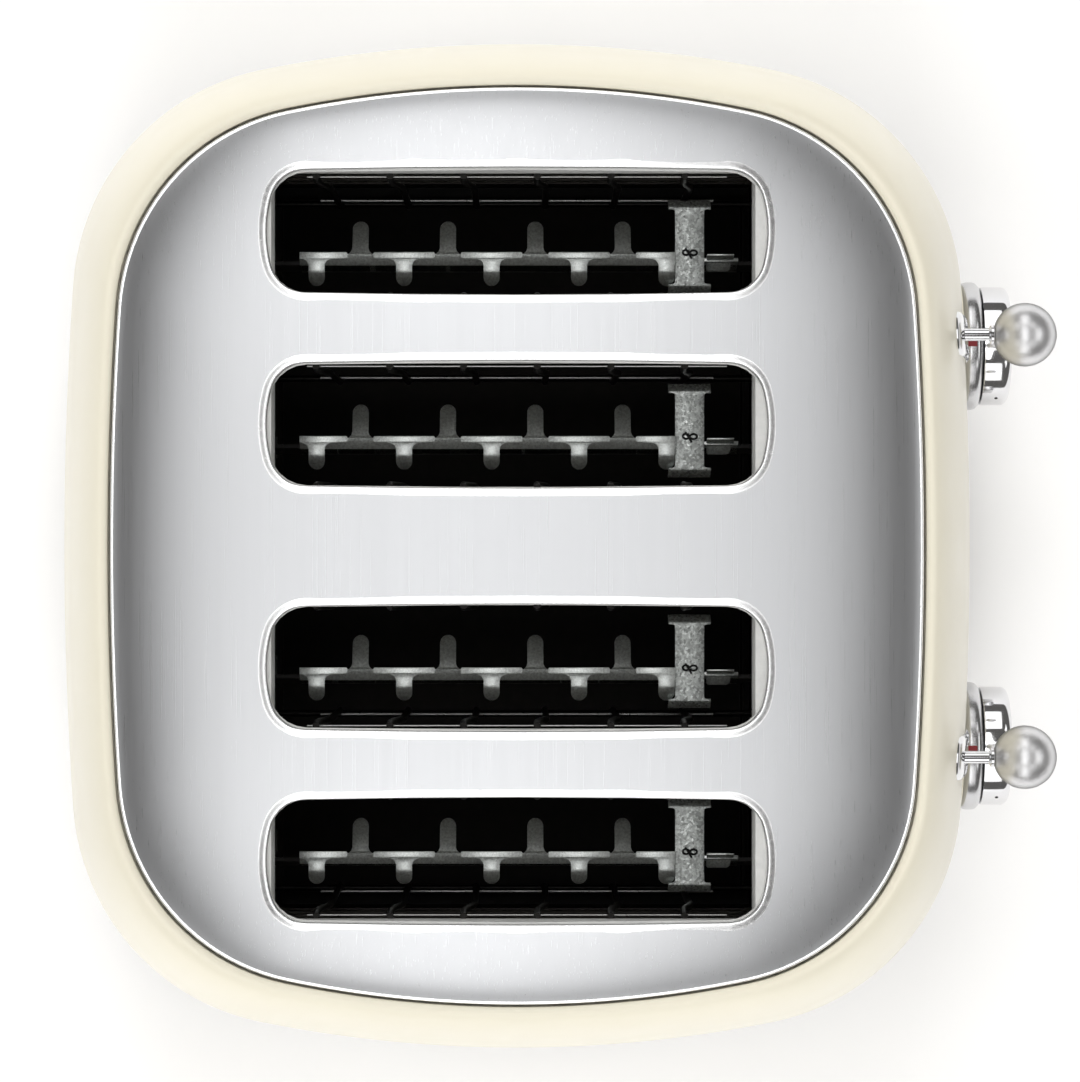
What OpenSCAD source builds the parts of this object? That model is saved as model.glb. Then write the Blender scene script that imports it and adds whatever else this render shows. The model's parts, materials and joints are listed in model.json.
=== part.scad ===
// Pop-up toaster with four long slots, two carriages and two browning dials.
// Millimetres. +Z is up, the controls face -Y, and the origin is under the centre of the whole box.

/* [Body] */
// Distance from the middle of a pair of slots to the body's flank
flank_room = 97; // [92:0.5:104]
// Distance from the frames to the body's front and back faces
face_room = 67; // [65:0.5:72]
// Height of the rim around the top plate
rim_z = 204; // [200:1:215]
// Radius of the bow in the two flanks
flank_bow_r = 420; // [360:10:600]
// Radius of the bow in the front and back faces
face_bow_r = 1250; // [900:50:2000]
// Radius of the four upright corners
corner_r = 76; // [66:1:84]
// Height at which the body is widest
widest_z = 70; // [60:1:80]
// How far the body leans in from its widest level to the rim
rim_inset = 24; // [20:0.5:28]
// Exponent of the curve from the widest level to the rim
shell_curve = 1.7; // [1.5:0.05:2]
// Thickness of the body's sheet
shell_wall = 2.5; // [2:0.1:3]
// How far the body leans in from its widest level to its lower edge
skirt_inset = 3; // [1:0.5:5]
// Width of the flat lip round the rim
lip_w = 1.2; // [0.8:0.1:2]
// Depth of the recess that holds the top plate
rim_recess = 5; // [4.4:0.1:6]
// Width of the ledge under the top plate
ledge_w = 6; // [4:0.5:8]

/* [Base] */
// Height of the rubber feet
foot_h = 7; // [6:0.5:12]
// Diameter of the rubber feet
foot_d = 22; // [18:1:28]
// Height of the plinth band
plinth_h = 21; // [20:0.5:26]
// How far the plinth stands in from the widest outline
plinth_inset = 6; // [5:0.5:9]
// Thickness of the plinth's wall
plinth_wall = 2.5; // [2:0.1:3.5]
// Width of the plinth's inner ledge, which the base pan is screwed to
plinth_ledge_w = 8; // [6:0.5:9]
// Thickness of the steel base pan
pan_t = 1.2; // [1:0.1:2]
// Distance of the feet in from the flanks
foot_inset_x = 38.5; // [36:0.5:44]
// Distance of the feet in from the front and back faces
foot_inset_y = 49; // [45:0.5:60]
// Diameter of the screws that hold the feet
foot_screw_d = 4; // [3:0.5:5]

/* [Crumb trays] */
// Gap between a crumb tray and the chamber's side walls
tray_side_gap = 5; // [3:0.5:8]
// Height of the crumb tray's walls
tray_h = 13; // [9:0.5:14]
// Thickness of the crumb tray's sheet
tray_t = 1; // [0.8:0.1:1.6]
// Width of the crumb tray's grip
tray_grip_w = 44; // [30:1:60]
// How far a crumb tray pulls out
tray_travel = 210; // [100:5:215]

/* [Top plate] */
// Thickness of the top plate
plate_t = 1.2; // [0.8:0.1:1.6]
// Rise of the top plate from its edge to its middle
plate_dome = 2.4; // [1:0.2:4]
// Gap between the top plate and the rim
plate_gap = 1.3; // [0.8:0.1:2]
// Depth of the plate's turned-down edges
plate_edge = 3; // [2.4:0.1:4]
// Length of a bread slot
slot_l = 149.7; // [146:0.5:154]
// Width of a bread slot at its middle
slot_w = 36.6; // [34:0.2:38]
// Radius of the bow at the ends of a bread slot
slot_end_r = 40; // [30:1:60]
// Radius of the bow in the long sides of a bread slot
slot_side_r = 3000; // [1500:100:5000]
// Radius of the corners of a bread slot
slot_corner_r = 11; // [8:0.5:13]
// Depth of the turned-down lip round a bread slot
slot_lip = 8; // [6:0.5:9]
// Distance between the two slots of a pair
slot_pitch = 58; // [56:0.5:60]
// Gap between the two chambers
chamber_gap = 13; // [10:0.5:16]
// Depth of the collar under a bread slot
collar_depth = 20; // [14:1:22]
// Thickness of the collar's sheet
collar_t = 0.8; // [0.6:0.1:1.2]

/* [Toasting chamber] */
// Distance from the ends of the slots to the front and rear frames
frame_clear = 5.15; // [4.5:0.05:7]
// How much wider a chamber is than its two slots' pitches
frame_margin = 2; // [1.5:0.1:4]
// Thickness of the frames' sheet
frame_t = 1; // [0.8:0.1:1.4]
// Thickness of the mica heater cards
card_t = 0.8; // [0.6:0.1:1.2]
// Gap between the heater cards and the collars above them
card_gap = 6.5; // [4:0.5:12]
// Height of the lower edge of the heater cards
card_z = 70; // [66:1:76]
// Number of ribbon runs on each heated face
ribbon_count = 8; // [4:1:10]
// Width of the heating ribbon
ribbon_w = 2; // [1:0.2:3]
// Distance of the guard wires from the middle of their slot
guard_x = 17.3; // [16.9:0.1:17.8]
// Diameter of the guard wires
guard_d = 2.2; // [1.6:0.1:2.4]
// Distance between the upright guard wires
guard_pitch = 22.5; // [18:0.5:23]
// Number of upright wires in a guard
guard_count = 6; // [4:1:6]
// Distance of the rearmost upright guard wire from the rear frame
guard_end_gap = 21.7; // [20:0.1:24]
// Height of the pivot of the guards
guard_pivot_z = 62; // [58:0.5:64]
// Distance of the guard wires' top ends below the lip of the slots
guard_below_lip = 16.5; // [12:0.5:18]
// Height of the middle rail of the guards
guard_mid_z = 100; // [90:1:120]
// Length of the guards' rails past their end wires
rail_overhang = 6; // [3:0.5:8]
// Distance of the top rail of the guards below their top end
guard_rail_drop = 7; // [5:0.5:20]

/* [Racks] */
// Height of the lever's stem above the top edge of the racks
lever_above_rack = 25; // [22:0.5:30]
// Height of a rack's web
rack_h = 14; // [10:0.5:16]
// Thickness of the racks' sheet
rack_t = 1.2; // [0.8:0.1:1.6]
// Place of the rack's web beside the middle of its slot
rack_x = 2.6; // [2:0.1:3.5]
// How far the rack's web leans over its height
rack_lean = 3.5; // [2:0.1:4]
// Distance of the rack's toothed stretch from the front frame
rack_front_gap = 10.7; // [10:0.1:13]
// Distance of the rack's toothed stretch from the rear frame
rack_rear_gap = 11.4; // [10:0.1:13]
// Distance of the rearmost tab of a rack from the rear frame
tab_end_gap = 16.8; // [15:0.1:18]
// Distance from one tab of a rack to the next on the same side
tab_pitch = 27.6; // [26:0.1:28]
// Width of a rack's tabs
tab_w = 4.6; // [3:0.1:6]
// Reach of a rack's tabs from its web
tab_reach = 9.8; // [7:0.1:10.5]
// Drop of the bent outer half of a rack's tabs
tab_drop = 3.5; // [2:0.1:5]
// Distance of the spreader from the front frame
spreader_gap = 25.5; // [24:0.1:28]
// Half length of the spreader
spreader_reach = 14.6; // [13:0.1:14.8]
// Width of the spreader's ears
spreader_w = 13.4; // [10:0.1:14]
// Width of the spreader's neck
spreader_neck = 8.7; // [7:0.1:9.5]

/* [Levers] */
// Travel of the levers
lever_travel = 66; // [60:1:68]
// Distance of the levers at rest below the rim
lever_drop = 44; // [42:0.5:48]
// Diameter of the lever's ball
ball_d = 19.7; // [16:0.1:22]
// Diameter of the lever's stem
stem_d = 3.8; // [3:0.1:5]
// Distance of the ball's centre in front of the body's widest level
ball_reach = 10.5; // [10.5:0.1:16]
// Depth of the stem's hole in the ball
ball_socket = 8; // [5:0.5:9]
// Diameter of the collar behind the ball
stem_collar_d = 6; // [5:0.1:7]
// Thickness of the collar behind the ball
stem_collar_t = 1; // [0.6:0.1:2]
// Width of the lever's bezel
bezel_w = 13.5; // [12:0.1:16]
// How far the lever's bezel stands out from the body
bezel_t = 1.5; // [1:0.1:2]
// Length of the bezel past each end of the lever's slot
bezel_end = 13; // [8:0.5:14]
// Gap beside the stem in its slot
stem_gap = 0.8; // [0.5:0.1:1.2]
// Diameter of the guide rods
rod_d = 5; // [4:0.1:6]
// Distance of a guide rod from the middle of its pair of slots
rod_x = 24; // [22:0.5:25]
// Distance of the guide rods in front of the front frame
rod_gap = 12.4; // [11:0.1:14]
// Height of the carriage's bushings
carriage_h = 26; // [22:1:30]
// Wall of the carriage's bushings
bushing_wall = 3; // [2:0.1:3.4]
// Distance of the rods' top flange below the top of the frames
guide_drop = 9; // [6:0.5:12]
// Distance of the carriage's lower edge below the racks' arms
carriage_drop = 6; // [4:0.5:8]
// Width of a holding magnet
magnet_w = 24; // [18:1:30]
// Depth of a holding magnet
magnet_d = 16; // [12:1:18]
// Height of a holding magnet
magnet_h = 20; // [14:1:24]
// Wire diameter of the lever springs
spring_wire_d = 1.4; // [1:0.1:1.6]

/* [Dials and buttons] */
// Height of the dials' axis
dial_z = 50; // [47:0.5:54]
// Distance of the dials' axis from the middle
dial_x = 67; // [62:0.5:72]
// How much smaller the dial's knob is than its base ring, all round
knob_margin = 1.5; // [0.5:0.1:3]
// Thickness of a dial's knob
knob_t = 9.6; // [6:0.1:12]
// Diameter of a dial's base ring
ring_d = 42.8; // [36:0.1:46]
// Thickness of a dial's base ring
ring_t = 6.4; // [5:0.1:8]
// How far the boss behind a dial reaches past its base ring, all round
boss_margin = 1.1; // [0.5:0.1:2]
// How far the boss stands out from the body's widest level
boss_reach = 1; // [1:0.1:4]
// Diameter of a dial's shaft
shaft_d = 6; // [4:0.1:6.5]
// Diameter of the browning control behind a dial
pot_d = 17; // [14:0.5:20]
// Thickness of the browning control behind a dial
pot_t = 8; // [6:0.5:10]
// Width of the button panel
panel_w = 58; // [54:1:64]
// Height of the button panel
panel_h = 44; // [40:1:46]
// Height of the middle of the button panel above the dials' axis
panel_rise = 6; // [4:0.5:8]
// Radius of the corners of the button panel
panel_corner_r = 9; // [4:0.5:12]
// How far the button panel stands out from the body's widest level
panel_reach = 0.6; // [0.3:0.1:1.5]
// Thickness of the button panel
panel_t = 6.5; // [5:0.1:8]
// Diameter of a button
button_d = 8; // [6:0.1:9]
// How far a button stands out from its panel
button_reach = 2; // [1.6:0.1:3]
// Travel of a button
button_travel = 1.5; // [1:0.1:1.5]
// Distance of the buttons from the middle
button_x = 15; // [13:0.5:18]
// Distance between the buttons of a column
button_pitch = 12.5; // [11.5:0.1:13]
// Place of the control board behind the body's widest level
board_back = 21; // [19:0.5:23]
// Width of the control board
board_w = 176; // [160:1:180]
// Height of the control board
board_h = 64; // [58:1:66]
// Thickness of the control board
board_t = 1.6; // [1.2:0.1:2]
// Height of the lower edge of the control board
board_z = 18; // [15:0.5:20]

/* [Cord gland] */
// Radius of the hole for the cord
cord_hole_r = 3.5; // [3:0.1:4]
// Diameter of the gland's flange
gland_d = 18; // [15:0.5:22]
// How much wider the gland's flange is than its neck, all round
gland_step = 3; // [2:0.5:4]
// Height of the gland's axis
gland_z = 40; // [38:0.5:46]
// How far the gland stands out from the body's widest level
gland_reach = 1.5; // [1:0.1:3]

/* [Hidden] */
SIDES = ["left", "right"];
PLACES = ["outer", "inner"];
$fn = 48;

// Clearances
moving_gap = 0.3;
loose_gap = 0.5;
running_gap = 0.05;
cut = 1;

// The layout grows from the slots outwards
frame_w = 2 * slot_pitch + frame_margin;
pair_pitch = frame_w + chamber_gap;
body_w = pair_pitch + 2 * flank_room;
frame_y = slot_l / 2 + frame_clear;
body_d = 2 * (frame_y + face_room);
tray_w = frame_w - 2 * frame_t - 2 * tray_side_gap;

// Half sizes and levels that the rest is built from
half_w = body_w / 2;
half_d = body_d / 2;
pan_z = foot_h;
floor_z = pan_z + pan_t;
skirt_z = foot_h + plinth_h;
lean = rim_inset - lip_w;
seat_z = rim_z - rim_recess;
seal_t = 1.5;
plate_edge_z = seat_z + seal_t + plate_edge;
lip_z = plate_edge_z - slot_lip + plate_edge;
lever_z = rim_z - lever_drop;
rack_z = lever_z - lever_above_rack;
panel_z = dial_z + panel_rise;
knob_d = ring_d - 2 * knob_margin;
boss_d = ring_d + 2 * boss_margin;
foot_x = half_w - foot_inset_x;
foot_y = half_d - foot_inset_y;
ledge_t = 2;
flange_t = 2;
ball_y = -half_d - ball_reach;
front_reach = half_d + ball_reach + ball_d / 2;
rear_reach = half_d + gland_reach;
centre_y = (front_reach - rear_reach) / 2;

// ---------------------------------------------------------------- outlines

// Centre of the corner arc of an outline that four bowed sides and four round corners make.
function corner_centre(a, b, ra, rb, rc) =
    let (x1 = a - ra, y2 = b - rb, d = norm([x1, y2]), p = ra - rc, q = rb - rc)
    let (along = (p * p - q * q + d * d) / (2 * d), off = sqrt(p * p - along * along))
    [x1 + (-x1 * along - y2 * off) / d, (y2 * along - x1 * off) / d];

function arc(centre, r, from, to, steps) =
    [for (i = [0:steps - 1]) let (t = from + (to - from) * i / steps) centre + r * [cos(t), sin(t)]];

// One quarter of the outline, from the end of the X axis to just before the end of the Y axis.
function quarter(a, b, ra, rb, rc, steps) =
    let (c = corner_centre(a, b, ra, rb, rc))
    let (t1 = atan2(c.y, c.x - a + ra), t2 = atan2(c.y - b + rb, c.x))
    concat(arc([a - ra, 0], ra, 0, t1, steps[0]), arc(c, rc, t1, t2, steps[1]),
           arc([0, b - rb], rb, t2, 90, steps[2]));

// The whole outline: half sizes a and b, side bows ra and rb, corner radius rc.
function outline(a, b, ra, rb, rc, steps = [5, 10, 4]) =
    let (q = quarter(a, b, ra, rb, rc, steps), n = len(q), top = [0, b])
    concat(q, [for (i = [n:-1:1]) let (p = i == n ? top : q[i]) [-p.x, p.y]],
           [for (p = q) -p], [for (i = [n:-1:1]) let (p = i == n ? top : q[i]) [p.x, -p.y]]);

function slot_outline(grow) = outline(slot_w / 2 + grow, slot_l / 2 + grow, slot_side_r + grow,
                                      slot_end_r + grow, slot_corner_r + grow, [1, 5, 4]);

// The body's outline at its widest level, and drawn in by an inset.
WIDEST = outline(half_w, half_d, flank_bow_r, face_bow_r, corner_r);
function body_outline(inset) =
    [for (p = WIDEST) [p.x * (1 - inset / half_w), p.y * (1 - inset / half_d)]];

// Inset of the outer skin at a height.
function inset_at(z) = z < widest_z
    ? skirt_inset * pow((widest_z - z) / (widest_z - skirt_z), 2)
    : lean * (1 - pow(1 - pow((min(z, rim_z) - widest_z) / (rim_z - widest_z), shell_curve),
                      1 / shell_curve));

// Distance of the front skin in front of the middle, at a place along the width and a height.
function front_at(x, z) =
    let (i = inset_at(z), wide = x / (1 - i / half_w))
    (half_d - face_bow_r + sqrt(face_bow_r * face_bow_r - wide * wide)) * (1 - i / half_d);

// Heights of the skin's levels, closer together towards the rim.
low_steps = 3;
high_steps = 10;
LEVELS = concat([for (i = [0:low_steps - 1]) skirt_z + (widest_z - skirt_z) * i / low_steps],
                [for (i = [0:high_steps]) widest_z
                    + (rim_z - widest_z) * pow(sin(90 * i / high_steps), 2 / shell_curve)]);

// A closed solid through rings that all have the same number of points.
module loft(rings) {
    n = len(rings[0]);
    last = len(rings) - 1;
    points = [for (ring = rings) each ring];
    walls = [for (k = [0:last - 1]) for (i = [0:n - 1]) let (j = (i + 1) % n)
        each [[k * n + i, (k + 1) * n + i, (k + 1) * n + j], [k * n + i, (k + 1) * n + j, k * n + j]]];
    polyhedron(points, concat([[for (i = [0:n - 1]) i]], walls,
                              [[for (i = [n - 1:-1:0]) last * n + i]]));
}

function ring_at(inset, z) = [for (p = body_outline(inset)) [p.x, p.y, z]];

// An upright prism of the body's outline.
module prism(inset, z0, z1) {
    translate([0, 0, z0]) linear_extrude(z1 - z0) polygon(body_outline(inset));
}

// ---------------------------------------------------------------- helpers

module in_frame() {
    translate([0, centre_y, 0]) children();
}

module box(x0, x1, y0, y1, z0, z1) {
    translate([x0, y0, z0]) cube([x1 - x0, y1 - y0, z1 - z0]);
}

// A cylinder along Y, from y0 to y1.
module rod_y(r, x, z, y0, y1) {
    translate([x, y0, z]) rotate([-90, 0, 0]) cylinder(r = r, h = y1 - y0);
}

// A plate that lies across the Y axis, cut from a flat outline in X and Z.
module across(y0, y1) {
    translate([0, y1, 0]) rotate([90, 0, 0]) linear_extrude(y1 - y0) children();
}

// An upright slot with round ends, as a flat outline in X and Z.
module slot_face(x, z0, z1, w) {
    translate([x - w / 2, z0]) square([w, z1 - z0]);
    translate([x, z0]) circle(d = w);
    translate([x, z1]) circle(d = w);
}

// Which way a side lies from the middle.
function side_sign(side) = side == "left" ? -1 : 1;
function pair_x(side) = side_sign(side) * pair_pitch / 2;
function slot_x(side, place) = pair_x(side) + side_sign(side) * (place == "outer" ? 1 : -1) * slot_pitch / 2;

// ---------------------------------------------------------------- body

slot_stem_w = stem_d + 2 * stem_gap;
stem_low_z = lever_z - lever_travel;
gland_neck_d = gland_d - 2 * gland_step;
shaft_hole_d = shaft_d + 2 * moving_gap;
board_front = half_d - board_back;
post_d = 7;
post_x = board_w / 2 - post_d;
post_low_z = skirt_z + flange_t + post_d / 2 + cut;
boss_front = half_d + boss_reach;
wall_split = half_d - corner_r;

module skin() {
    loft([for (z = LEVELS) ring_at(inset_at(z), z)]);
}

// The hollow follows the skin one wall further in and one wall lower.
module hollow() {
    top = seat_z - ledge_t;
    levels = [for (z = LEVELS) if (z > skirt_z + flange_t + cut && z < top - cut) z];
    loft([for (z = concat([skirt_z + flange_t], levels, [top]))
        ring_at(inset_at(z + shell_wall) + shell_wall, z)]);
}

module shell() {
    difference() {
        union() {
            skin();
            for (side = [-1, 1])
                rod_y(boss_d / 2, side * dial_x, dial_z, -boss_front,
                      -front_at(dial_x, dial_z) + shell_wall);
        }
        hollow();
        prism(rim_inset, seat_z, rim_z + cut);
        prism(rim_inset + ledge_w, seat_z - ledge_t - cut, seat_z + cut);
        prism(skirt_inset + plinth_ledge_w + plinth_inset, skirt_z - cut, skirt_z + flange_t + cut);
        for (side = SIDES) {
            across(-half_d - cut, -half_d + 2 * rim_inset)
                slot_face(pair_x(side), stem_low_z, lever_z, slot_stem_w + moving_gap);
            box(pair_x(side) - frame_w / 2 - moving_gap, pair_x(side) + frame_w / 2 + moving_gap,
                -flange_reach - moving_gap, flange_reach + moving_gap, seat_z - ledge_t - cut, seat_z + cut);
        }
        box(-board_w / 2 - moving_gap, board_w / 2 + moving_gap, -board_front - moving_gap,
            -board_front + flange_t, skirt_z - cut, skirt_z + flange_t + cut);
        for (side = [-1, 1])
            rod_y(shaft_hole_d / 2, side * dial_x, dial_z, -boss_front - cut, -half_d + 4 * shell_wall);
        across(-half_d - cut, -half_d + 4 * shell_wall) panel_face(moving_gap);
        rod_y(gland_neck_d / 2, 0, gland_z, half_d - 4 * shell_wall, half_d + cut);
        rod_y(gland_d / 2 + moving_gap, 0, gland_z, gland_seat, half_d + cut);
    }
    for (x = [-post_x, post_x])
        rod_y(post_d / 2, x, post_low_z, -front_at(post_x, post_low_z) + shell_wall / 2, -board_front);
}

// The body is parted where its corners run into the flanks
module body_end(facing) {
    low = facing == "front" ? -boss_front - cut : wall_split;
    high = facing == "front" ? -wall_split : half_d + cut;
    color("oldlace") in_frame() intersection() {
        shell();
        box(-half_w - cut, half_w + cut, low, high, 0, rim_z + cut);
    }
}

module body_flank(side) {
    low = side == "left" ? -half_w - cut : 0;
    high = side == "left" ? 0 : half_w + cut;
    color("oldlace") in_frame() intersection() {
        shell();
        box(low, high, -wall_split, wall_split, 0, rim_z + cut);
    }
}

module plate_dome_solid(drop, bottom) {
    inset = rim_inset + plate_gap;
    rings = [for (s = [0:0.2:0.8]) let (k = 1 - s)
        [for (p = body_outline(inset)) [p.x * k, p.y * k, plate_edge_z + plate_dome * (1 - k * k) - drop]]];
    loft(concat([ring_at(inset, bottom)], rings));
}

module each_slot() {
    for (side = SIDES)
        for (place = PLACES)
            translate([slot_x(side, place), 0, 0]) children();
}

module slot_prism(grow, z0, z1) {
    translate([0, 0, z0]) linear_extrude(z1 - z0) polygon(slot_outline(grow));
}

module top_plate() {
    color("silver") in_frame() difference() {
        plate_dome_solid(0, lip_z);
        difference() {
            plate_dome_solid(plate_t, lip_z - cut);
            difference() {
                prism(rim_inset + plate_gap - cut, seat_z + seal_t, rim_z + cut);
                prism(rim_inset + plate_gap + plate_t, seat_z, rim_z + 2 * cut);
            }
            each_slot() slot_prism(plate_t, lip_z - 2 * cut, rim_z + 2 * cut);
        }
        difference() {
            prism(rim_inset + plate_gap - cut, lip_z - cut, seat_z + seal_t);
            prism(rim_inset + plate_gap + plate_t, lip_z - 2 * cut, seat_z + seal_t + cut);
        }
        each_slot() slot_prism(0, lip_z - cut, rim_z + 4 * cut);
    }
}

module plate_seal() {
    color("dimgray") in_frame() difference() {
        prism(rim_inset + moving_gap, seat_z, seat_z + seal_t);
        prism(rim_inset + ledge_w, seat_z - cut, seat_z + seal_t + cut);
    }
}

// The collar is a sheet-metal tube under the slot, with a flange that the lip rests on.
collar_gap = 1.5;
collar_front = slot_l / 2 - 3;
collar_rear = slot_l / 2 - 0.8;
collar_half_w = slot_w / 2 + collar_gap;
flange_reach = frame_y + 2 * frame_t;

module slot_collars(side) {
    color("gainsboro") in_frame() for (place = PLACES) {
        x = slot_x(side, place);
        difference() {
            union() {
                box(x - collar_half_w - collar_t, x + collar_half_w + collar_t, -collar_front - collar_t,
                    collar_rear + collar_t, lip_z - collar_depth, lip_z);
                box(x - slot_pitch / 2 + moving_gap, x + slot_pitch / 2 - moving_gap, -flange_reach,
                    flange_reach, lip_z - collar_t, lip_z);
            }
            box(x - collar_half_w, x + collar_half_w, -collar_front, collar_rear,
                lip_z - collar_depth - cut, lip_z - collar_t);
            intersection() {
                translate([x, 0, 0]) slot_prism(plate_t / 2, lip_z - 2 * collar_t, lip_z + cut);
                box(x - slot_w, x + slot_w, -collar_front, collar_rear,
                    lip_z - 3 * collar_t, lip_z + 2 * cut);
            }
        }
    }
}

// ---------------------------------------------------------------- base

ledge_h = 2;
door_gap = moving_gap + 0.2;

module tray_opening(side) {
    x = pair_x(side);
    box(x - tray_w / 2 - door_gap, x + tray_w / 2 + door_gap, 0, body_d, floor_z,
        floor_z + tray_h + 2 * door_gap);
}

module base_plinth() {
    color("silver") in_frame() difference() {
        union() {
            difference() {
                prism(plinth_inset, foot_h, skirt_z);
                prism(plinth_inset + plinth_wall, foot_h - cut, skirt_z + cut);
            }
            difference() {
                prism(plinth_inset + plinth_wall / 2, floor_z, floor_z + ledge_h);
                prism(plinth_inset + plinth_wall + plinth_ledge_w, floor_z - cut, floor_z + ledge_h + cut);
            }
        }
        for (side = SIDES) tray_opening(side);
    }
}

module each_foot() {
    for (x = [-foot_x, foot_x])
        for (y = [-foot_y, foot_y])
            translate([x, y, 0]) children();
}

module base_pan() {
    color("darkgray") in_frame() difference() {
        prism(plinth_inset + plinth_wall + 0.1, pan_z, floor_z);
        each_foot() translate([0, 0, pan_z - cut]) cylinder(d = foot_screw_d + 0.2, h = pan_t + 2 * cut);
    }
}

foot_recess_d = 2.4 * foot_screw_d;
foot_recess_h = foot_h / 2;

module feet() {
    color("#222222") in_frame() each_foot() rotate_extrude() polygon([
        [foot_screw_d / 2 + 0.1, foot_h], [foot_d / 2, foot_h], [foot_d / 2, 1],
        [foot_d / 2 - 1, 0], [foot_recess_d / 2, 0], [foot_recess_d / 2, foot_recess_h],
        [foot_screw_d / 2 + 0.1, foot_recess_h]]);
}

module base_screws() {
    head_t = foot_screw_d / 2;
    color("silver") in_frame() each_foot() {
        translate([0, 0, foot_recess_h - head_t]) cylinder(d = 2 * foot_screw_d, h = head_t);
        translate([0, 0, foot_recess_h - cut / 2])
            cylinder(d = foot_screw_d, h = floor_z - foot_recess_h + cut);
    }
}

// A tray is an open box whose rear wall follows the plinth, with a grip outside it.
module crumb_tray(side) {
    x = pair_x(side);
    z0 = floor_z + moving_gap;
    z1 = z0 + tray_h;
    y0 = -frame_y + frame_t + 2 * loose_gap;
    grip_y = half_d - plinth_inset;
    color("silver") in_frame() {
        difference() {
            intersection() {
                prism(plinth_inset, z0, z1);
                box(x - tray_w / 2, x + tray_w / 2, y0, body_d, z0 - cut, z1 + cut);
            }
            intersection() {
                prism(plinth_inset + plinth_wall, z0 + tray_t, z1 + cut);
                box(x - tray_w / 2 + tray_t, x + tray_w / 2 - tray_t, y0 + tray_t, body_d,
                    z0 + tray_t, z1 + 2 * cut);
            }
        }
        difference() {
            box(x - tray_grip_w / 2, x + tray_grip_w / 2, half_d / 2, grip_y + plinth_wall,
                z1 - 4 * tray_t, z1);
            prism(plinth_inset + plinth_wall / 2, z0, z1 + cut);
        }
    }
}

// ---------------------------------------------------------------- chamber

frame_top = lip_z - collar_t;
pivot_hole_r = guard_d / 2 + running_gap;
rail_x = guard_x + guard_d - 0.3;
arm_h = rack_h * 0.6;
arm_top = rack_z - 2;
window_gap = 1.5;
carriage_y = -frame_y - frame_t - 5;
rod_y_place = -frame_y - frame_t - rod_gap;
guide_top_z = frame_top - guide_drop;
guard_top_z = lip_z - guard_below_lip;
guard_rear_y = frame_y - guard_end_gap;

// Where the rack's web is, as a flat outline in X and Z: it leans away from its top edge.
module web_face(x, top, h) {
    s = rack_lean / rack_h;
    polygon([[x - rack_x, top], [x - rack_x + rack_t, top],
             [x - rack_x + rack_t - s * h, top - h], [x - rack_x - s * h, top - h]]);
}

// The holes that both frames have: two windows for the racks and four for the guards' pivots.
module frame_holes(side, y0, y1) {
    for (place = PLACES) {
        x = slot_x(side, place);
        box(x - rack_x - rack_lean - window_gap, x - rack_x + rack_t + window_gap, y0, y1,
            arm_top - arm_h - lever_travel - window_gap, arm_top + window_gap);
        for (s = [-1, 1]) rod_y(pivot_hole_r, x + s * rail_x, guard_pivot_z, y0, y1);
    }
}

module chamber(side) {
    x = pair_x(side);
    color("lightgray") in_frame() difference() {
        box(x - frame_w / 2, x + frame_w / 2, -frame_y, frame_y + frame_t, floor_z, frame_top);
        box(x - frame_w / 2 + frame_t, x + frame_w / 2 - frame_t, -frame_y - cut, frame_y,
            floor_z - cut, frame_top + cut);
        box(x - frame_w / 2 + frame_t, x + frame_w / 2 - frame_t, frame_y - cut, frame_y + 2 * cut,
            floor_z - cut, floor_z + tray_h + 4 * door_gap);
        frame_holes(side, frame_y - cut, frame_y + 2 * cut);
    }
}

module front_frame(side) {
    x = pair_x(side);
    color("lightgray") in_frame() difference() {
        union() {
            box(x - frame_w / 2, x + frame_w / 2, -frame_y - frame_t, -frame_y, floor_z, frame_top);
            box(x - rod_x - 2 * rod_d, x + rod_x + 2 * rod_d, rod_y_place - 1.5 * rod_d,
                -frame_y - frame_t / 2, guide_top_z, guide_top_z + frame_t);
        }
        frame_holes(side, -frame_y - frame_t - cut, -frame_y + cut);
        for (s = [-1, 1]) translate([x + s * rod_x, rod_y_place, guide_top_z - cut])
            cylinder(r = rod_d / 2 + running_gap, h = frame_t + 2 * cut);
    }
}

card_x = slot_pitch - card_t / 2 - 3.1;
card_h = lip_z - collar_depth - card_gap - card_z;

module heater_cards(side) {
    color("#6f7468") in_frame() for (off = [-card_x, 0, card_x]) {
        x = pair_x(side) + off;
        box(x - card_t / 2, x + card_t / 2, -frame_y, frame_y, card_z, card_z + card_h);
    }
}

module heating_ribbons() {
    t = 0.4;
    step = card_h / ribbon_count;
    color("#8a8276") in_frame() for (side = SIDES) for (face = [[-card_x, 1], [0, -1], [0, 1], [card_x, -1]])
        for (i = [0:ribbon_count - 1]) {
            x = pair_x(side) + face[0] + face[1] * (card_t + t) / 2;
            z = card_z + step * (i + 0.5);
            box(x - t / 2, x + t / 2, 5 - frame_y, frame_y - 5, z - ribbon_w / 2, z + ribbon_w / 2);
        }
}

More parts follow.
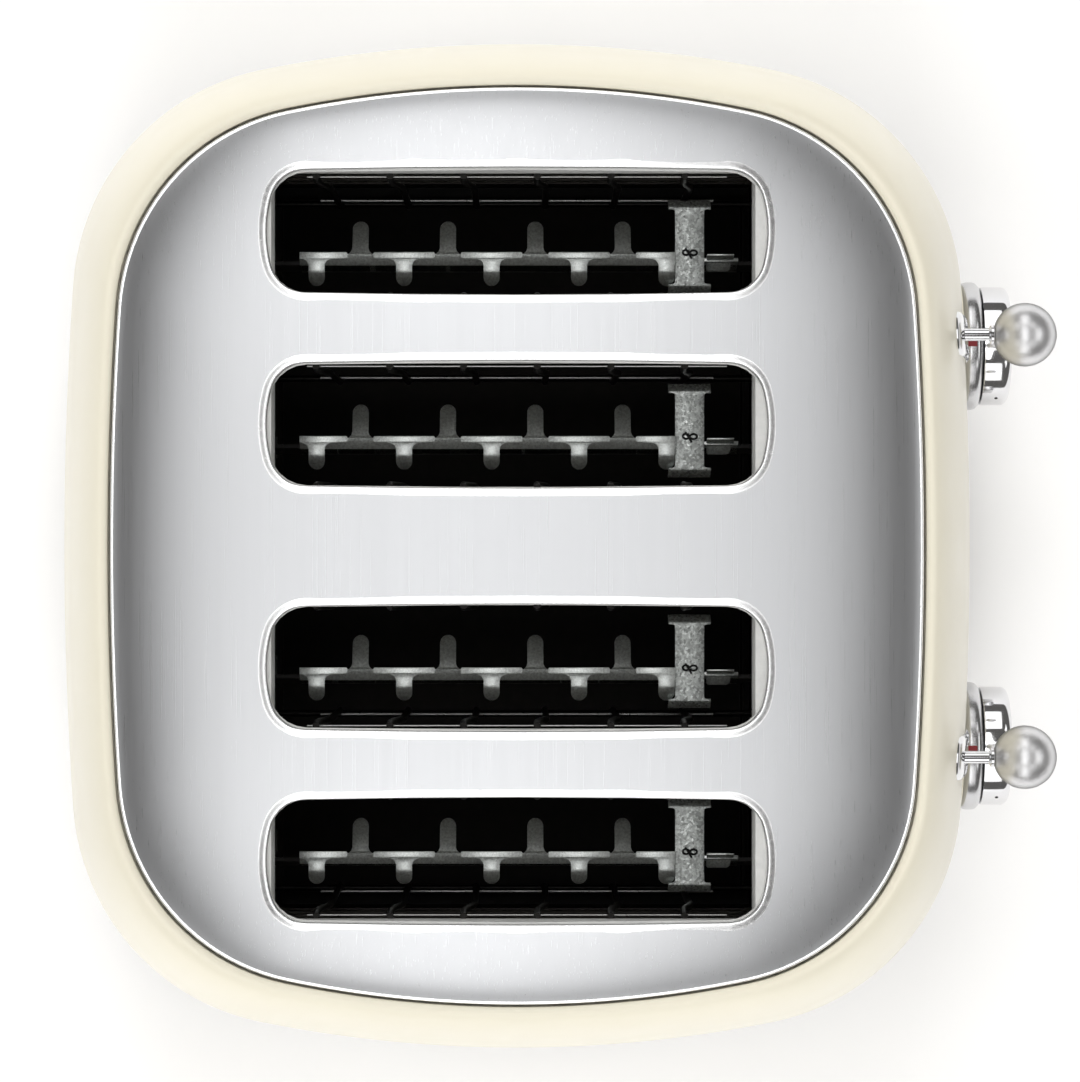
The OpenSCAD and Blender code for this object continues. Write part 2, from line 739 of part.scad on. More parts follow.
// A guard is a grid of wires that leans towards its slot about its lowest rail.
module guard(side, k) {
    place = k < 3 ? "outer" : "inner";
    x = slot_x(side, place);
    s = k % 2 == 1 ? -1 : 1;
    r = guard_d / 2;
    rail_reach = guard_rear_y + rail_overhang;
    color("gainsboro") in_frame() {
        for (i = [0:guard_count - 1])
            translate([x + s * guard_x, guard_rear_y - i * guard_pitch, guard_pivot_z - r])
                cylinder(r = r, h = guard_top_z - guard_pivot_z + r, $fn = 8);
        for (z = [guard_mid_z, guard_top_z - guard_rail_drop])
            translate([x + s * rail_x, rail_reach, z])
                rotate([90, 0, 0]) cylinder(r = r, h = 2 * rail_reach, $fn = 8);
        rod_y(r, x + s * rail_x, guard_pivot_z, -frame_y - 2.5 * frame_t, frame_y + 2.5 * frame_t);
    }
}

// ---------------------------------------------------------------- racks

rack_front = frame_y - rack_front_gap;
rack_rear = frame_y - rack_rear_gap;
tab_rear_y = frame_y - tab_end_gap;
spreader_y = frame_y - spreader_gap;

// One tab: flat next to the web, then bent down. It reaches from the web towards dir.
module tab(x, y, dir, w) {
    half = tab_reach / 2;
    translate([x, y + w / 2, rack_z]) rotate([90, 0, 0]) linear_extrude(w) polygon([
        [0, 0], [dir * half, 0], [dir * tab_reach, -tab_drop], [dir * tab_reach, -tab_drop - rack_t],
        [dir * half, -rack_t], [0, -rack_t]]);
}

lug_t = rack_t;
lug_l = 5;

module rack(side, place) {
    x = slot_x(side, place);
    left_tabs = floor((tab_rear_y + rack_front - tab_w) / tab_pitch);
    color("silver") in_frame() {
        across(-rack_front, rack_rear) web_face(x, rack_z, rack_h);
        across(carriage_y, frame_y + 3 * frame_t) web_face(x - rack_lean * 2 / rack_h, arm_top, arm_h);
        for (i = [0:left_tabs]) tab(x - rack_x + rack_t, tab_rear_y - i * tab_pitch, -1, tab_w);
        for (i = [0:left_tabs - 1]) tab(x - rack_x, tab_rear_y - (i + 0.5) * tab_pitch, 1, tab_w);
        box(x - rack_x, x - rack_x + lug_t, -spreader_y - lug_l / 2, -spreader_y + lug_l / 2,
            rack_z - rack_t, rack_z + 2 * rack_t);
    }
}

module spreaders(side) {
    ear = spreader_reach * 0.42;
    ear_drop = 2 * tab_drop - 3 * rack_t;
    color("gainsboro") in_frame() for (place = PLACES) {
        x = slot_x(side, place);
        difference() {
            union() {
                box(x - spreader_reach, x + spreader_reach, -spreader_y - spreader_neck / 2,
                    -spreader_y + spreader_neck / 2, rack_z, rack_z + rack_t);
                for (s = [-1, 1]) {
                    translate([x + s * (spreader_reach - ear / 2), -spreader_y, rack_z + rack_t / 2])
                        cube([ear, spreader_w, rack_t], center = true);
                    translate([x + s * (spreader_reach - rack_t / 2), -spreader_y, rack_z - ear_drop / 2])
                        cube([rack_t, spreader_w, ear_drop + 2 * rack_t], center = true);
                }
            }
            box(x - rack_x - 0.1, x - rack_x + lug_t + 0.1, -spreader_y - lug_l / 2 - 0.1,
                -spreader_y + lug_l / 2 + 0.1, rack_z - cut, rack_z + rack_t + cut);
        }
    }
}

// ---------------------------------------------------------------- levers

carriage_z = arm_top - arm_h - carriage_drop;
carriage_t = 1.2;
carriage_half_w = slot_pitch / 2 + rack_x + rack_lean + 3;
bushing_r = rod_d / 2 + bushing_wall;
stem_tab_w = 16;

module carriage(side) {
    x = pair_x(side);
    color("lightgray") in_frame() difference() {
        union() {
            box(x - carriage_half_w, x + carriage_half_w, carriage_y - carriage_t, carriage_y,
                carriage_z, carriage_z + carriage_h);
            box(x - stem_tab_w / 2, x + stem_tab_w / 2, carriage_y - carriage_t, carriage_y,
                carriage_z, lever_z + stem_d * 1.5);
            box(x - rod_x, x + rod_x, rod_y_place, carriage_y, carriage_z, carriage_z + carriage_t);
            for (s = [-1, 1]) {
                translate([x + s * rod_x, rod_y_place, carriage_z]) cylinder(r = bushing_r, h = carriage_h);
                box(x + s * rod_x - rod_d / 2, x + s * rod_x + rod_d / 2, rod_y_place, carriage_y,
                    carriage_z, carriage_z + carriage_h);
            }
        }
        for (s = [-1, 1]) translate([x + s * rod_x, rod_y_place, carriage_z - cut])
            cylinder(r = rod_d / 2 + running_gap, h = carriage_h + 2 * cut);
    }
}

module guide_rods() {
    color("silver") in_frame() for (side = SIDES) for (s = [-1, 1])
        translate([pair_x(side) + s * rod_x, rod_y_place, floor_z])
            cylinder(d = rod_d, h = guide_top_z + 2 * frame_t - floor_z);
}

// The springs pull the carriage up; each is closely wound at rest.
module lever_spring(side) {
    z0 = carriage_z + carriage_h + moving_gap;
    turns = floor((guide_top_z - z0) / spring_wire_d);
    pitch = (guide_top_z - z0) / turns;
    inner = rod_d / 2 + 2 * moving_gap;
    outer = inner + spring_wire_d;
    valley = outer - spring_wire_d / 3;
    color("gray") in_frame() for (s = [-1, 1])
        translate([pair_x(side) + s * rod_x, rod_y_place, z0]) rotate_extrude() polygon(concat(
            [[inner, 0]],
            [for (i = [0:turns - 1]) each [[valley, i * pitch], [outer, (i + 0.5) * pitch]]],
            [[valley, turns * pitch], [inner, turns * pitch]]));
}

module holding_magnets() {
    top = carriage_z - lever_travel - loose_gap;
    color("#444444") in_frame() for (side = SIDES)
        box(pair_x(side) - magnet_w / 2, pair_x(side) + magnet_w / 2, -frame_y - frame_t - magnet_d,
            -frame_y - frame_t, top - magnet_h, top);
}

ball_flat = sqrt(ball_d * ball_d / 4 - stem_collar_d * stem_collar_d / 4);

module lever_stem(side) {
    x = pair_x(side);
    back = ball_y + ball_flat;
    color("silver") in_frame() {
        rod_y(stem_d / 2, x, lever_z, ball_y + ball_flat - ball_socket, carriage_y - carriage_t);
        rod_y(stem_collar_d / 2, x, lever_z, back, back + stem_collar_t);
    }
}

module lever_ball(side) {
    color("silver") in_frame() translate([pair_x(side), ball_y, lever_z]) difference() {
        sphere(d = ball_d);
        rod_y(ball_d, 0, 0, ball_flat, ball_d);
        rod_y(stem_d / 2 + running_gap, 0, 0, ball_flat - ball_socket, ball_flat + cut);
    }
}

// The bezel follows the skin's curve up the front face.
module lever_bezel(side) {
    x = pair_x(side);
    turn = side_sign(side) * asin(abs(x) / face_bow_r);
    low = stem_low_z - bezel_end;
    high = lever_z + bezel_end + (bezel_w - slot_stem_w) / 2 - 2;
    near = [for (z = LEVELS) [-front_at(x, z), z]];
    seat = concat([[cut, near[0].y - cut], [near[0].x, near[0].y - cut]], near,
                  [[near[len(near) - 1].x, rim_z + cut], [cut, rim_z + cut]]);
    face = concat([for (p = near) [p.x - bezel_t, p.y]], [[0, rim_z], [0, near[0].y]]);
    color("silver") in_frame() intersection() {
        translate([x, -front_at(x, widest_z), 0]) rotate([0, 0, turn])
            translate([-bezel_w, front_at(x, widest_z), 0]) rotate([90, 0, 90]) linear_extrude(2 * bezel_w)
                difference() {
                    polygon(face);
                    translate([moving_gap / -2, 0]) polygon(seat);
                }
        across(-body_d, 0) difference() {
            slot_face(x, low + bezel_w / 2, high - bezel_w / 2, bezel_w);
            slot_face(x, stem_low_z, lever_z, slot_stem_w);
        }
    }
}

// ---------------------------------------------------------------- dials and buttons

ring_front = boss_front + ring_t;
knob_back = ring_front + moving_gap;
pot_front = board_front + pot_t;
pot_floor = 2;

module dial_rings() {
    color("silver") in_frame() for (s = [-1, 1])
        translate([s * dial_x, -boss_front, dial_z]) rotate([90, 0, 0]) rotate_extrude()
            polygon([[shaft_hole_d / 2, 0], [ring_d / 2, 0], [ring_d / 2, ring_t - 1],
                     [ring_d / 2 - 1, ring_t], [shaft_hole_d / 2, ring_t]]);
}

module dial_knob(side) {
    r = knob_d / 2;
    end = board_front - knob_back + pot_floor + cut;
    color("silver") in_frame() translate([side_sign(side) * dial_x, -knob_back, dial_z]) rotate([90, 0, 0])
        rotate_extrude() polygon([[0, end], [shaft_d / 2, end], [shaft_d / 2, 0], [r, 0], [r, knob_t * 0.6],
                                  [r - knob_t * 0.12, knob_t * 0.85],
                                  [r - knob_t * 0.4, knob_t], [0, knob_t]]);
}

module browning_controls() {
    color("#333333") in_frame() for (s = [-1, 1]) difference() {
        rod_y(pot_d / 2, s * dial_x, dial_z, -pot_front, -board_front);
        rod_y(shaft_d / 2 + running_gap, s * dial_x, dial_z, -pot_front - cut, -board_front - pot_floor);
    }
}

module panel_face(grow) {
    w = panel_w + 2 * grow;
    h = panel_h + 2 * grow;
    r = panel_corner_r + grow;
    translate([-w / 2, panel_z - h / 2 + r]) square([w, h - 2 * r]);
    translate([-w / 2 + r, panel_z - h / 2]) square([w - 2 * r, h]);
    for (x = [-w / 2 + r, w / 2 - r])
        for (z = [panel_z - h / 2 + r, panel_z + h / 2 - r])
            translate([x, z]) circle(r);
}

panel_front = half_d + panel_reach;
panel_back = panel_front - panel_t;
BUTTONS = ["reheat", "defrost", "cancel"];
function button_z(k) = panel_z + (1 - k) * button_pitch;

module each_button() {
    for (s = [-1, 1])
        for (k = [0:2])
            translate([s * button_x, 0, button_z(k)]) children();
}

module button_panel() {
    color("oldlace") in_frame() {
        difference() {
            across(-panel_front, -panel_back) panel_face(0);
            each_button() rod_y(button_d / 2 + moving_gap, 0, 0, -panel_front - cut, -panel_back + cut);
        }
        for (z = [panel_z - panel_h / 2 + post_d / 2, panel_z + panel_h / 2 - post_d / 2])
            rod_y(post_d / 2, 0, z, -panel_back - cut / 2, -board_front);
    }
}

switch_t = 2;

module button(side, k) {
    front = panel_front + button_reach;
    collar = panel_back - moving_gap;
    color("silver") in_frame() translate([side_sign(side) * button_x, 0, button_z(k)]) {
        rod_y(button_d / 2, 0, 0, -front, -collar + button_travel);
        rod_y(button_d / 2 + 3 * moving_gap, 0, 0, -collar, -collar + button_travel);
        rod_y(button_d / 5, 0, 0, -collar, -board_front - switch_t - button_travel - moving_gap);
    }
}

module control_board() {
    color("darkgreen") in_frame() {
        box(-board_w / 2, board_w / 2, -board_front, -board_front + board_t, board_z, board_z + board_h);
        each_button() rod_y(button_d / 4, 0, 0, -board_front - switch_t, -board_front + board_t / 2);
    }
}

// ---------------------------------------------------------------- cord gland

// The rear skin mirrors the front one, so the gland's flat seat comes from the same function.
gland_seat = front_at(gland_d / 2, gland_z - gland_d / 2);
gland_length = rear_reach - gland_seat + 3 * shell_wall;

module cord_gland() {
    color("#222222") in_frame() difference() {
        union() {
            rod_y(gland_d / 2, 0, gland_z, gland_seat, rear_reach);
            rod_y(gland_neck_d / 2 - 0.1, 0, gland_z, rear_reach - gland_length, rear_reach - cut / 2);
        }
        rod_y(cord_hole_r, 0, gland_z, rear_reach - gland_length - cut, rear_reach + cut);
    }
}

// ---------------------------------------------------------------- the part

body_end("front");  // body_front
body_end("rear");  // body_rear
dial_rings();
top_plate();
plate_seal();
base_plinth();
base_pan();
feet();
base_screws();
heating_ribbons();
button_panel();
control_board();
browning_controls();
holding_magnets();
guide_rods();
cord_gland();
for (side = SIDES) {
    slot_collars(side);
    chamber(side);
    front_frame(side);
    heater_cards(side);
    lever_bezel(side);
    body_flank(side);
    lever_spring(side);
    lever_stem(side);
    lever_ball(side);
    carriage(side);
    spreaders(side);
    dial_knob(side);
    crumb_tray(side);
    for (place = PLACES)
        rack(side, place);
    for (k = [1:4])
        guard(side, k);
    for (k = [0:2])
        button(side, k);
}
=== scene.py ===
"""Four slot toaster.

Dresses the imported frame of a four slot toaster: a cream enamelled body, a brushed steel top plate with
four rolled slots, toast racks with bent tabs, slice guards of wire, chrome levers and browning dials.
All lengths are in metres. X runs across the four slots, the levers are on the -Y side, and Z is up.
"""
import json
import math

import bmesh
import bpy
from mathutils import Matrix, Vector


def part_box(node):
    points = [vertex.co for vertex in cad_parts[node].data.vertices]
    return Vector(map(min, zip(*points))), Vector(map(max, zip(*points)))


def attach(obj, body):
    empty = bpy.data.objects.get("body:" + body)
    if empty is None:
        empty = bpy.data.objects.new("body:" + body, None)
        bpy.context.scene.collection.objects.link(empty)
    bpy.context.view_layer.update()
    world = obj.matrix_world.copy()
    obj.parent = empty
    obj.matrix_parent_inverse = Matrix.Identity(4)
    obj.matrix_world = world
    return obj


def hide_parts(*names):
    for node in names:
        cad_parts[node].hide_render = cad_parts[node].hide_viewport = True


bl_info = {
    "name": "Four slot toaster",
    "version": (1, 0, 0),
    "blender": (4, 5, 0),
    "location": "View3D > Sidebar > Toaster",
    "description": "Builds the dressed pieces of a four slot toaster round its packed frame",
    "category": "Object",
}

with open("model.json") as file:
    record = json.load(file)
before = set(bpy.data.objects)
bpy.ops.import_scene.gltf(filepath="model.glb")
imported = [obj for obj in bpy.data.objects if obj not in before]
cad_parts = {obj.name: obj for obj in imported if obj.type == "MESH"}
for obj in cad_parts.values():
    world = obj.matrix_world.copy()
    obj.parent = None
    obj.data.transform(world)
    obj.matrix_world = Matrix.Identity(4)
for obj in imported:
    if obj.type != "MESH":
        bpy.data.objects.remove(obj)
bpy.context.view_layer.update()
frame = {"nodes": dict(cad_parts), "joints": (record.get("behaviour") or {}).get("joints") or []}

SIDES = ("left", "right")
PLACES = ("outer", "inner")
SLOTS = [(side, place) for side in SIDES for place in PLACES]
BUTTONS = ("reheat", "defrost", "cancel")

# The middle of the body and its levels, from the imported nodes.
PLINTH_LOW, PLINTH_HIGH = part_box("base_plinth")
FLANK_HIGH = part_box("body_flank_right")[1]
CENTRE_Y = (PLINTH_LOW.y + PLINTH_HIGH.y) / 2
HALF_W = FLANK_HIGH.x
HALF_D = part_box("body_rear")[1].y - CENTRE_Y
FACE_Y = CENTRE_Y - HALF_D
SKIRT_Z = PLINTH_HIGH.z
RIM_Z = FLANK_HIGH.z
PLATE_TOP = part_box("top_plate")[1].z
COLLAR_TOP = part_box("slot_collars_right")[1].z


def cosine(degrees):
    return math.cos(math.radians(degrees))


def sine(degrees):
    return math.sin(math.radians(degrees))


def middle_of(node):
    """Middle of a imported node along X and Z."""
    low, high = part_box(node)
    return (low.x + high.x) / 2, (low.z + high.z) / 2


def lever_travel():
    for joint in frame["joints"]:
        if joint.get("name") == "lever_left_slide":
            return joint["range_m"][1] - joint["range_m"][0]
    raise RuntimeError("the frame has no lever slide")


def slot_x(side, place):
    """Middle of a bread slot along X, half way between its two guards."""
    first, second = (1, 2) if place == "outer" else (3, 4)
    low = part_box(f"guard_{side}_{first}")[0].x
    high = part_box(f"guard_{side}_{second}")[1].x
    return (low + high) / 2


# ---------------------------------------------------------------- sizes and colours

def length(name, value, description):
    return bpy.props.FloatProperty(name=name, default=value, description=description, min=0.0,
                                   precision=5, unit="LENGTH", subtype="DISTANCE")


def colour(name, value, description):
    return bpy.props.FloatVectorProperty(name=name, default=value, description=description, size=3,
                                         min=0.0, max=1.0, subtype="COLOR")


class BodySizes(bpy.types.PropertyGroup):
    corner_radius: length("Corner radius", 0.076, "Radius of the upright corners of the body")
    flank_bow: length("Flank bow", 0.420, "Radius of the bow of the two flanks")
    face_bow: length("Face bow", 1.250, "Radius of the bow of the front and the back")
    widest: length("Widest level", 0.070, "Height at which the body is widest")
    skirt_inset: length("Skirt inset", 0.003, "How far the body draws in again at its skirt")
    rim_inset: length("Rim inset", 0.024, "Distance of the recess for the plate in from the widest outline")
    lip: length("Lip", 0.0020, "Radius of the rolled lip round the recess")
    recess: length("Recess", 0.005, "Depth of the recess for the plate")
    wall: length("Wall", 0.0015, "Thickness of the pressed wall")
    shoulder: bpy.props.FloatProperty(name="Shoulder", default=1.7, min=1.0, max=3.0,
                                      description="Fullness of the curve from the widest level to the rim")


class PlateSizes(bpy.types.PropertyGroup):
    gap: length("Gap", 0.0007, "Gap between the plate and the lip of the body")
    edge: length("Edge", 0.0022, "Depth of the polished edge under the dome")
    trim: length("Trim", 0.0011, "Width of the polished edge round the plate")
    dome: length("Dome", 0.0050, "Height that the curve of the dome would fall if it ran to upright")
    cut_off: bpy.props.FloatProperty(name="Cut off", default=0.970, min=0.5, max=1.0, subtype="FACTOR",
                                     description="Share of the curve of the dome that the plate uses")
    shoulder: bpy.props.FloatProperty(name="Shoulder", default=8.0, min=2.0, max=16.0,
                                      description="How late the dome falls away towards its edge")
    raised: length("Raised", 0.0001, "How far the frame of a slot stands above the plate")
    roll: length("Roll", 0.0006, "Radius of the roll at the edge of a slot")
    frame: length("Frame", 0.0025, "Width of the polished frame round a slot, with its roll")
    sheet: length("Sheet", 0.0006, "Thickness of the plate")
    slot_length: length("Slot length", 0.1502, "Length of a slot inside its rolled edge")
    slot_width: length("Slot width", 0.0382, "Width of a slot inside its rolled edge")
    slot_corner: length("Slot corner", 0.011, "Radius of the four corners of a slot")
    slot_end_bow: length("Slot end bow", 0.040, "Radius of the bowed ends of a slot")


class RackSizes(bpy.types.PropertyGroup):
    sheet: length("Sheet", 0.0012, "Thickness of the rack sheet")
    tab_width: length("Tab width", 0.0051, "Width of a bent tab")
    tab_reach: length("Tab reach", 0.0098, "How far a tab reaches from the web")
    tab_drop: length("Tab drop", 0.0035, "How far the end of a tab hangs below its root")
    tab_pitch: length("Tab pitch", 0.0276, "Distance from one tab to the next on the same side")
    first_tab: length("First tab", 0.0632, "Distance of the rearmost tab behind the middle of the body")
    shoulder_width: length("Shoulder width", 0.0194, "Width of the flat shoulder that a tab grows from")
    wire: length("Guard wire", 0.0022, "Diameter of the wire of a slice guard")


class LeverSizes(bpy.types.PropertyGroup):
    stem: length("Stem", 0.0038, "Diameter of the stem of a lever")
    collar: length("Collar", 0.006, "Diameter of the small collar behind the ball")
    ball: length("Ball", 0.0197, "Diameter of the ball on a lever")
    bezel_width: length("Bezel width", 0.0135, "Width of the bezel round the slot of a lever")
    slot_width: length("Slot width", 0.0054, "Width of the slot that a lever runs in")


class DialSizes(bpy.types.PropertyGroup):
    ring: length("Base ring", 0.0428, "Diameter of the base ring behind a knob")
    knob: length("Knob", 0.0398, "Diameter of a browning knob")
    boss: length("Boss", 0.045, "Diameter of the cream boss behind the base ring")
    rim_round: length("Rim round", 0.0026, "Radius of the round between the knob's rim and its face")


class Finishes(bpy.types.PropertyGroup):
    cream: colour("Cream", (0.820, 0.775, 0.635), "Colour of the enamelled body")
    panel: colour("Panel", (0.800, 0.755, 0.615), "Colour of the moulded button panel")
    plate: colour("Plate", (0.57, 0.577, 0.59), "Reflection of the brushed plate")
    chrome: colour("Chrome", (0.78, 0.78, 0.79), "Reflection of the chromed pieces")
    satin: colour("Satin chrome", (0.90, 0.90, 0.905), "Reflection of the satin balls")
    zinc: colour("Zinc", (0.74, 0.77, 0.75), "Reflection of the galvanised sheet")
    mark: colour("Mark", (0.19, 0.012, 0.016), "Colour of the index mark on a dial's ring")


class Studio(bpy.types.PropertyGroup):
    camera_height: length("Camera height", 1.504, "Height of the camera above the floor")
    lens: bpy.props.FloatProperty(name="Lens", default=144.2, min=10.0, max=400.0, unit="CAMERA",
                                  description="Focal length of the camera in millimetres")
    floor: colour("Floor", (0.96, 0.955, 0.955), "Colour of the plain floor")


def sizes(name):
    return getattr(bpy.context.scene, "toaster_" + name)


# ---------------------------------------------------------------- modelling by hand

def deselect():
    if bpy.context.object and bpy.context.object.mode != "OBJECT":
        bpy.ops.object.mode_set(mode="OBJECT")
    bpy.ops.object.select_all(action="DESELECT")


def pick(*pieces):
    deselect()
    for piece in pieces:
        piece.select_set(True)
    bpy.context.view_layer.objects.active = pieces[0]


def put(piece, ring, points):
    """Move the vertices of a ring to their points."""
    mesh = bmesh.from_edit_mesh(piece.data)
    mesh.verts.ensure_lookup_table()
    for index, point in zip(ring, points):
        mesh.verts[index].co = point
    bmesh.update_edit_mesh(piece.data)


def drawn_from(piece, ring):
    """The selected ring that the last extrude drew out of a ring, in the same order."""
    mesh = bmesh.from_edit_mesh(piece.data)
    mesh.verts.ensure_lookup_table()
    old = set(ring)
    return [next(edge.other_vert(mesh.verts[i]).index for edge in mesh.verts[i].link_edges
                 if edge.other_vert(mesh.verts[i]).select and edge.other_vert(mesh.verts[i]).index not in old)
            for i in ring]


def select_ring(piece, ring):
    mesh = bmesh.from_edit_mesh(piece.data)
    mesh.verts.ensure_lookup_table()
    chosen = set(ring)
    for vert in mesh.verts:
        vert.select = vert.index in chosen
    mesh.select_flush(True)
    bmesh.update_edit_mesh(piece.data)


def loft(name, rings, ends="open"):
    """Draw a circle out through a list of rings. Ends are open, capped, or joined into a loop."""
    deselect()
    bpy.ops.mesh.primitive_circle_add(vertices=len(rings[0]), radius=0.1)
    piece = bpy.context.object
    piece.name = name
    bpy.ops.object.mode_set(mode="EDIT")
    bpy.ops.mesh.select_all(action="SELECT")
    first = ring = list(range(len(rings[0])))
    put(piece, ring, rings[0])
    for points in rings[1:]:
        bpy.ops.mesh.extrude_edges_move()
        ring = drawn_from(piece, ring)
        put(piece, ring, points)
    if ends == "capped":
        for end in (first, ring):
            select_ring(piece, end)
            bpy.ops.mesh.edge_face_add()
    elif ends == "loop":
        bpy.ops.mesh.extrude_edges_move()
        put(piece, drawn_from(piece, ring), rings[0])
    tidy_mesh()
    return piece


def tidy_mesh():
    """Merge what meets, point the faces outwards and leave edit mode."""
    bpy.ops.mesh.select_all(action="SELECT")
    bpy.ops.mesh.remove_doubles(threshold=2e-6)
    bpy.ops.mesh.normals_make_consistent(inside=False)
    bpy.ops.object.mode_set(mode="OBJECT")


def smooth(piece, degrees):
    pick(piece)
    bpy.ops.object.shade_smooth_by_angle(angle=math.radians(degrees))


def applied(piece, modifier):
    pick(piece)
    bpy.ops.object.modifier_apply(modifier=modifier.name)


def bevelled(piece, width):
    """Round the sharp edges of a piece of sheet."""
    modifier = piece.modifiers.new("Edges", "BEVEL")
    modifier.width = width
    modifier.segments = 2
    modifier.limit_method = "ANGLE"
    modifier.angle_limit = math.radians(50.0)
    applied(piece, modifier)


def cut_out(piece, cutter):
    modifier = piece.modifiers.new("Cut", "BOOLEAN")
    modifier.operation = "DIFFERENCE"
    modifier.solver = "EXACT"
    modifier.object = cutter
    applied(piece, modifier)
    bpy.data.objects.remove(cutter, do_unlink=True)


def joined(name, pieces):
    pick(*pieces)
    if len(pieces) > 1:
        bpy.ops.object.join()
    piece = bpy.context.object
    piece.name = name
    return piece


def placed_copy(piece, name, shift=(0.0, 0.0, 0.0), mirror_x=None):
    """A copy with its own mesh, moved by a shift or mirrored across a plane of constant X."""
    pick(piece)
    bpy.ops.object.duplicate(linked=False)
    copy = bpy.context.object
    copy.name = name
    if mirror_x is not None:
        copy.data.transform(Matrix.Translation((2 * mirror_x, 0, 0)) @ Matrix.Scale(-1, 4, (1, 0, 0)))
    copy.data.transform(Matrix.Translation(shift))
    if mirror_x is not None:
        bpy.ops.object.mode_set(mode="EDIT")
        bpy.ops.mesh.select_all(action="SELECT")
        bpy.ops.mesh.flip_normals()
        bpy.ops.object.mode_set(mode="OBJECT")
    return copy


def block(name, low, high):
    """A box between two corners, as a start for a cutter or a pressed piece."""
    deselect()
    low, high = Vector(low), Vector(high)
    bpy.ops.mesh.primitive_cube_add(size=1.0, location=(0, 0, 0))
    piece = bpy.context.object
    piece.name = name
    bpy.ops.object.mode_set(mode="EDIT")
    mesh = bmesh.from_edit_mesh(piece.data)
    for vert in mesh.verts:
        vert.co = [high[k] if vert.co[k] > 0 else low[k] for k in range(3)]
    bmesh.update_edit_mesh(piece.data)
    tidy_mesh()
    return piece


def round_ring(radius, x, y, z, steps):
    """A ring of points about an axis along Y."""
    turns = [2 * math.pi * i / steps for i in range(steps)]
    return [Vector((x + radius * math.cos(a), y, z + radius * math.sin(a))) for a in turns]


def strip_ring(x, y0, y1, z, down):
    """Four corners across a strip of sheet: its upper face, then its lower face."""
    first, second = Vector((x, y0, z)), Vector((x, y1, z))
    return [first, second, second - down, first - down]


def wrapped(name, x, z, outer, inner, spans):
    """A thin patch that wraps a round rim. Its spans are (turn, first y, last y)."""
    rings = [[Vector((x + radius * math.cos(turn), y, z + radius * math.sin(turn)))
              for radius, y in ((outer, y0), (outer, y1), (inner, y1), (inner, y0))]
             for turn, y0, y1 in spans]
    return loft(name, rings, "capped")


def turned(name, profile, x, z, steps=48, ends="capped"):
    """Turn a profile of (radius, y) about an axis along Y. A radius of nought closes to a point."""
    return loft(name, [round_ring(radius, x, y, z, steps) for radius, y in profile], ends)


def rounded_corner(centre, radius, start, stop, steps):
    """Points of an arc, in degrees, as (first, second) pairs."""
    turns = [start + (stop - start) * i / steps for i in range(steps + 1)]
    return [(centre[0] + radius * cosine(a), centre[1] + radius * sine(a)) for a in turns]


def tube(name, path, radius, sides=10):
    """A round wire along a path of points, with flat ends."""
    path = [Vector(p) for p in path]
    rings = []
    across = None
    for i, point in enumerate(path):
        along = (path[min(i + 1, len(path) - 1)] - path[max(i - 1, 0)]).normalized()
        if across is None:
            across = along.orthogonal().normalized()
        across = (across - along * across.dot(along)).normalized()
        other = along.cross(across)
        rings.append([point + radius * (math.cos(2 * math.pi * k / sides) * across
                                        + math.sin(2 * math.pi * k / sides) * other) for k in range(sides)])
    return loft(name, rings, "capped")


def sheet_plate(name, outline_points, low, high, axis="Z"):
    """A flat plate with an outline of (first, second) pairs between two levels along an axis."""
    def at(pair, level):
        if axis == "Z":
            return Vector((pair[0], pair[1], level))
        return Vector((pair[0], level, pair[1]))
    return loft(name, [[at(p, low) for p in outline_points], [at(p, high) for p in outline_points]], "capped")


# ---------------------------------------------------------------- outlines

def corner_centre(a, b, ra, rb, rc):
    """Centre of the corner arc that touches both bowed sides."""
    x1, y2 = a - ra, b - rb
    gap = math.hypot(x1, y2)
    p, q = ra - rc, rb - rc
    along = (p * p - q * q + gap * gap) / (2 * gap)
    off = math.sqrt(p * p - along * along)
    return x1 + (-x1 * along - y2 * off) / gap, (y2 * along - x1 * off) / gap


def outline(a, b, ra, rb, rc, steps):
    """Four bowed sides and four round corners, as (x, y) pairs in order round the outline.

    a and b are half of its width and depth, ra and rb the bows of its sides, and rc its corners. The steps
    are those of half a side along Y, of a corner, and of half a side along X.
    """
    cx, cy = corner_centre(a, b, ra, rb, rc)
    turn_one = math.degrees(math.atan2(cy, cx - a + ra))
    turn_two = math.degrees(math.atan2(cy - b + rb, cx))
    quarter = (rounded_corner((a - ra, 0), ra, 0, turn_one, steps[0])[:-1]
               + rounded_corner((cx, cy), rc, turn_one, turn_two, steps[1])[:-1]
               + rounded_corner((0, b - rb), rb, turn_two, 90, steps[2])[:-1])
    second = [(0.0, b)] + quarter[:0:-1]
    half = quarter + [(-x, y) for x, y in second]
    return half + [(-x, -y) for x, y in half]


def widest_outline():
    body = sizes("body")
    return outline(HALF_W, HALF_D, body.flank_bow, body.face_bow, body.corner_radius, (16, 22, 18))


def drawn_in(points, inset, z, grow=1.0):
    """A ring of the body's outline, drawn in by an inset and scaled about the middle."""
    return [Vector((x * (1 - inset / HALF_W) * grow, CENTRE_Y + y * (1 - inset / HALF_D) * grow, z))
            for x, y in points]


def inset_at(z):
    """Inset of the outer skin at a height."""
    body = sizes("body")
    if z < body.widest:
        return body.skirt_inset * ((body.widest - z) / (body.widest - SKIRT_Z)) ** 2
    t = (min(z, RIM_Z) - body.widest) / (RIM_Z - body.widest)
    lean = body.rim_inset - body.lip
    return lean * (1 - (1 - t ** body.shoulder) ** (1 / body.shoulder))


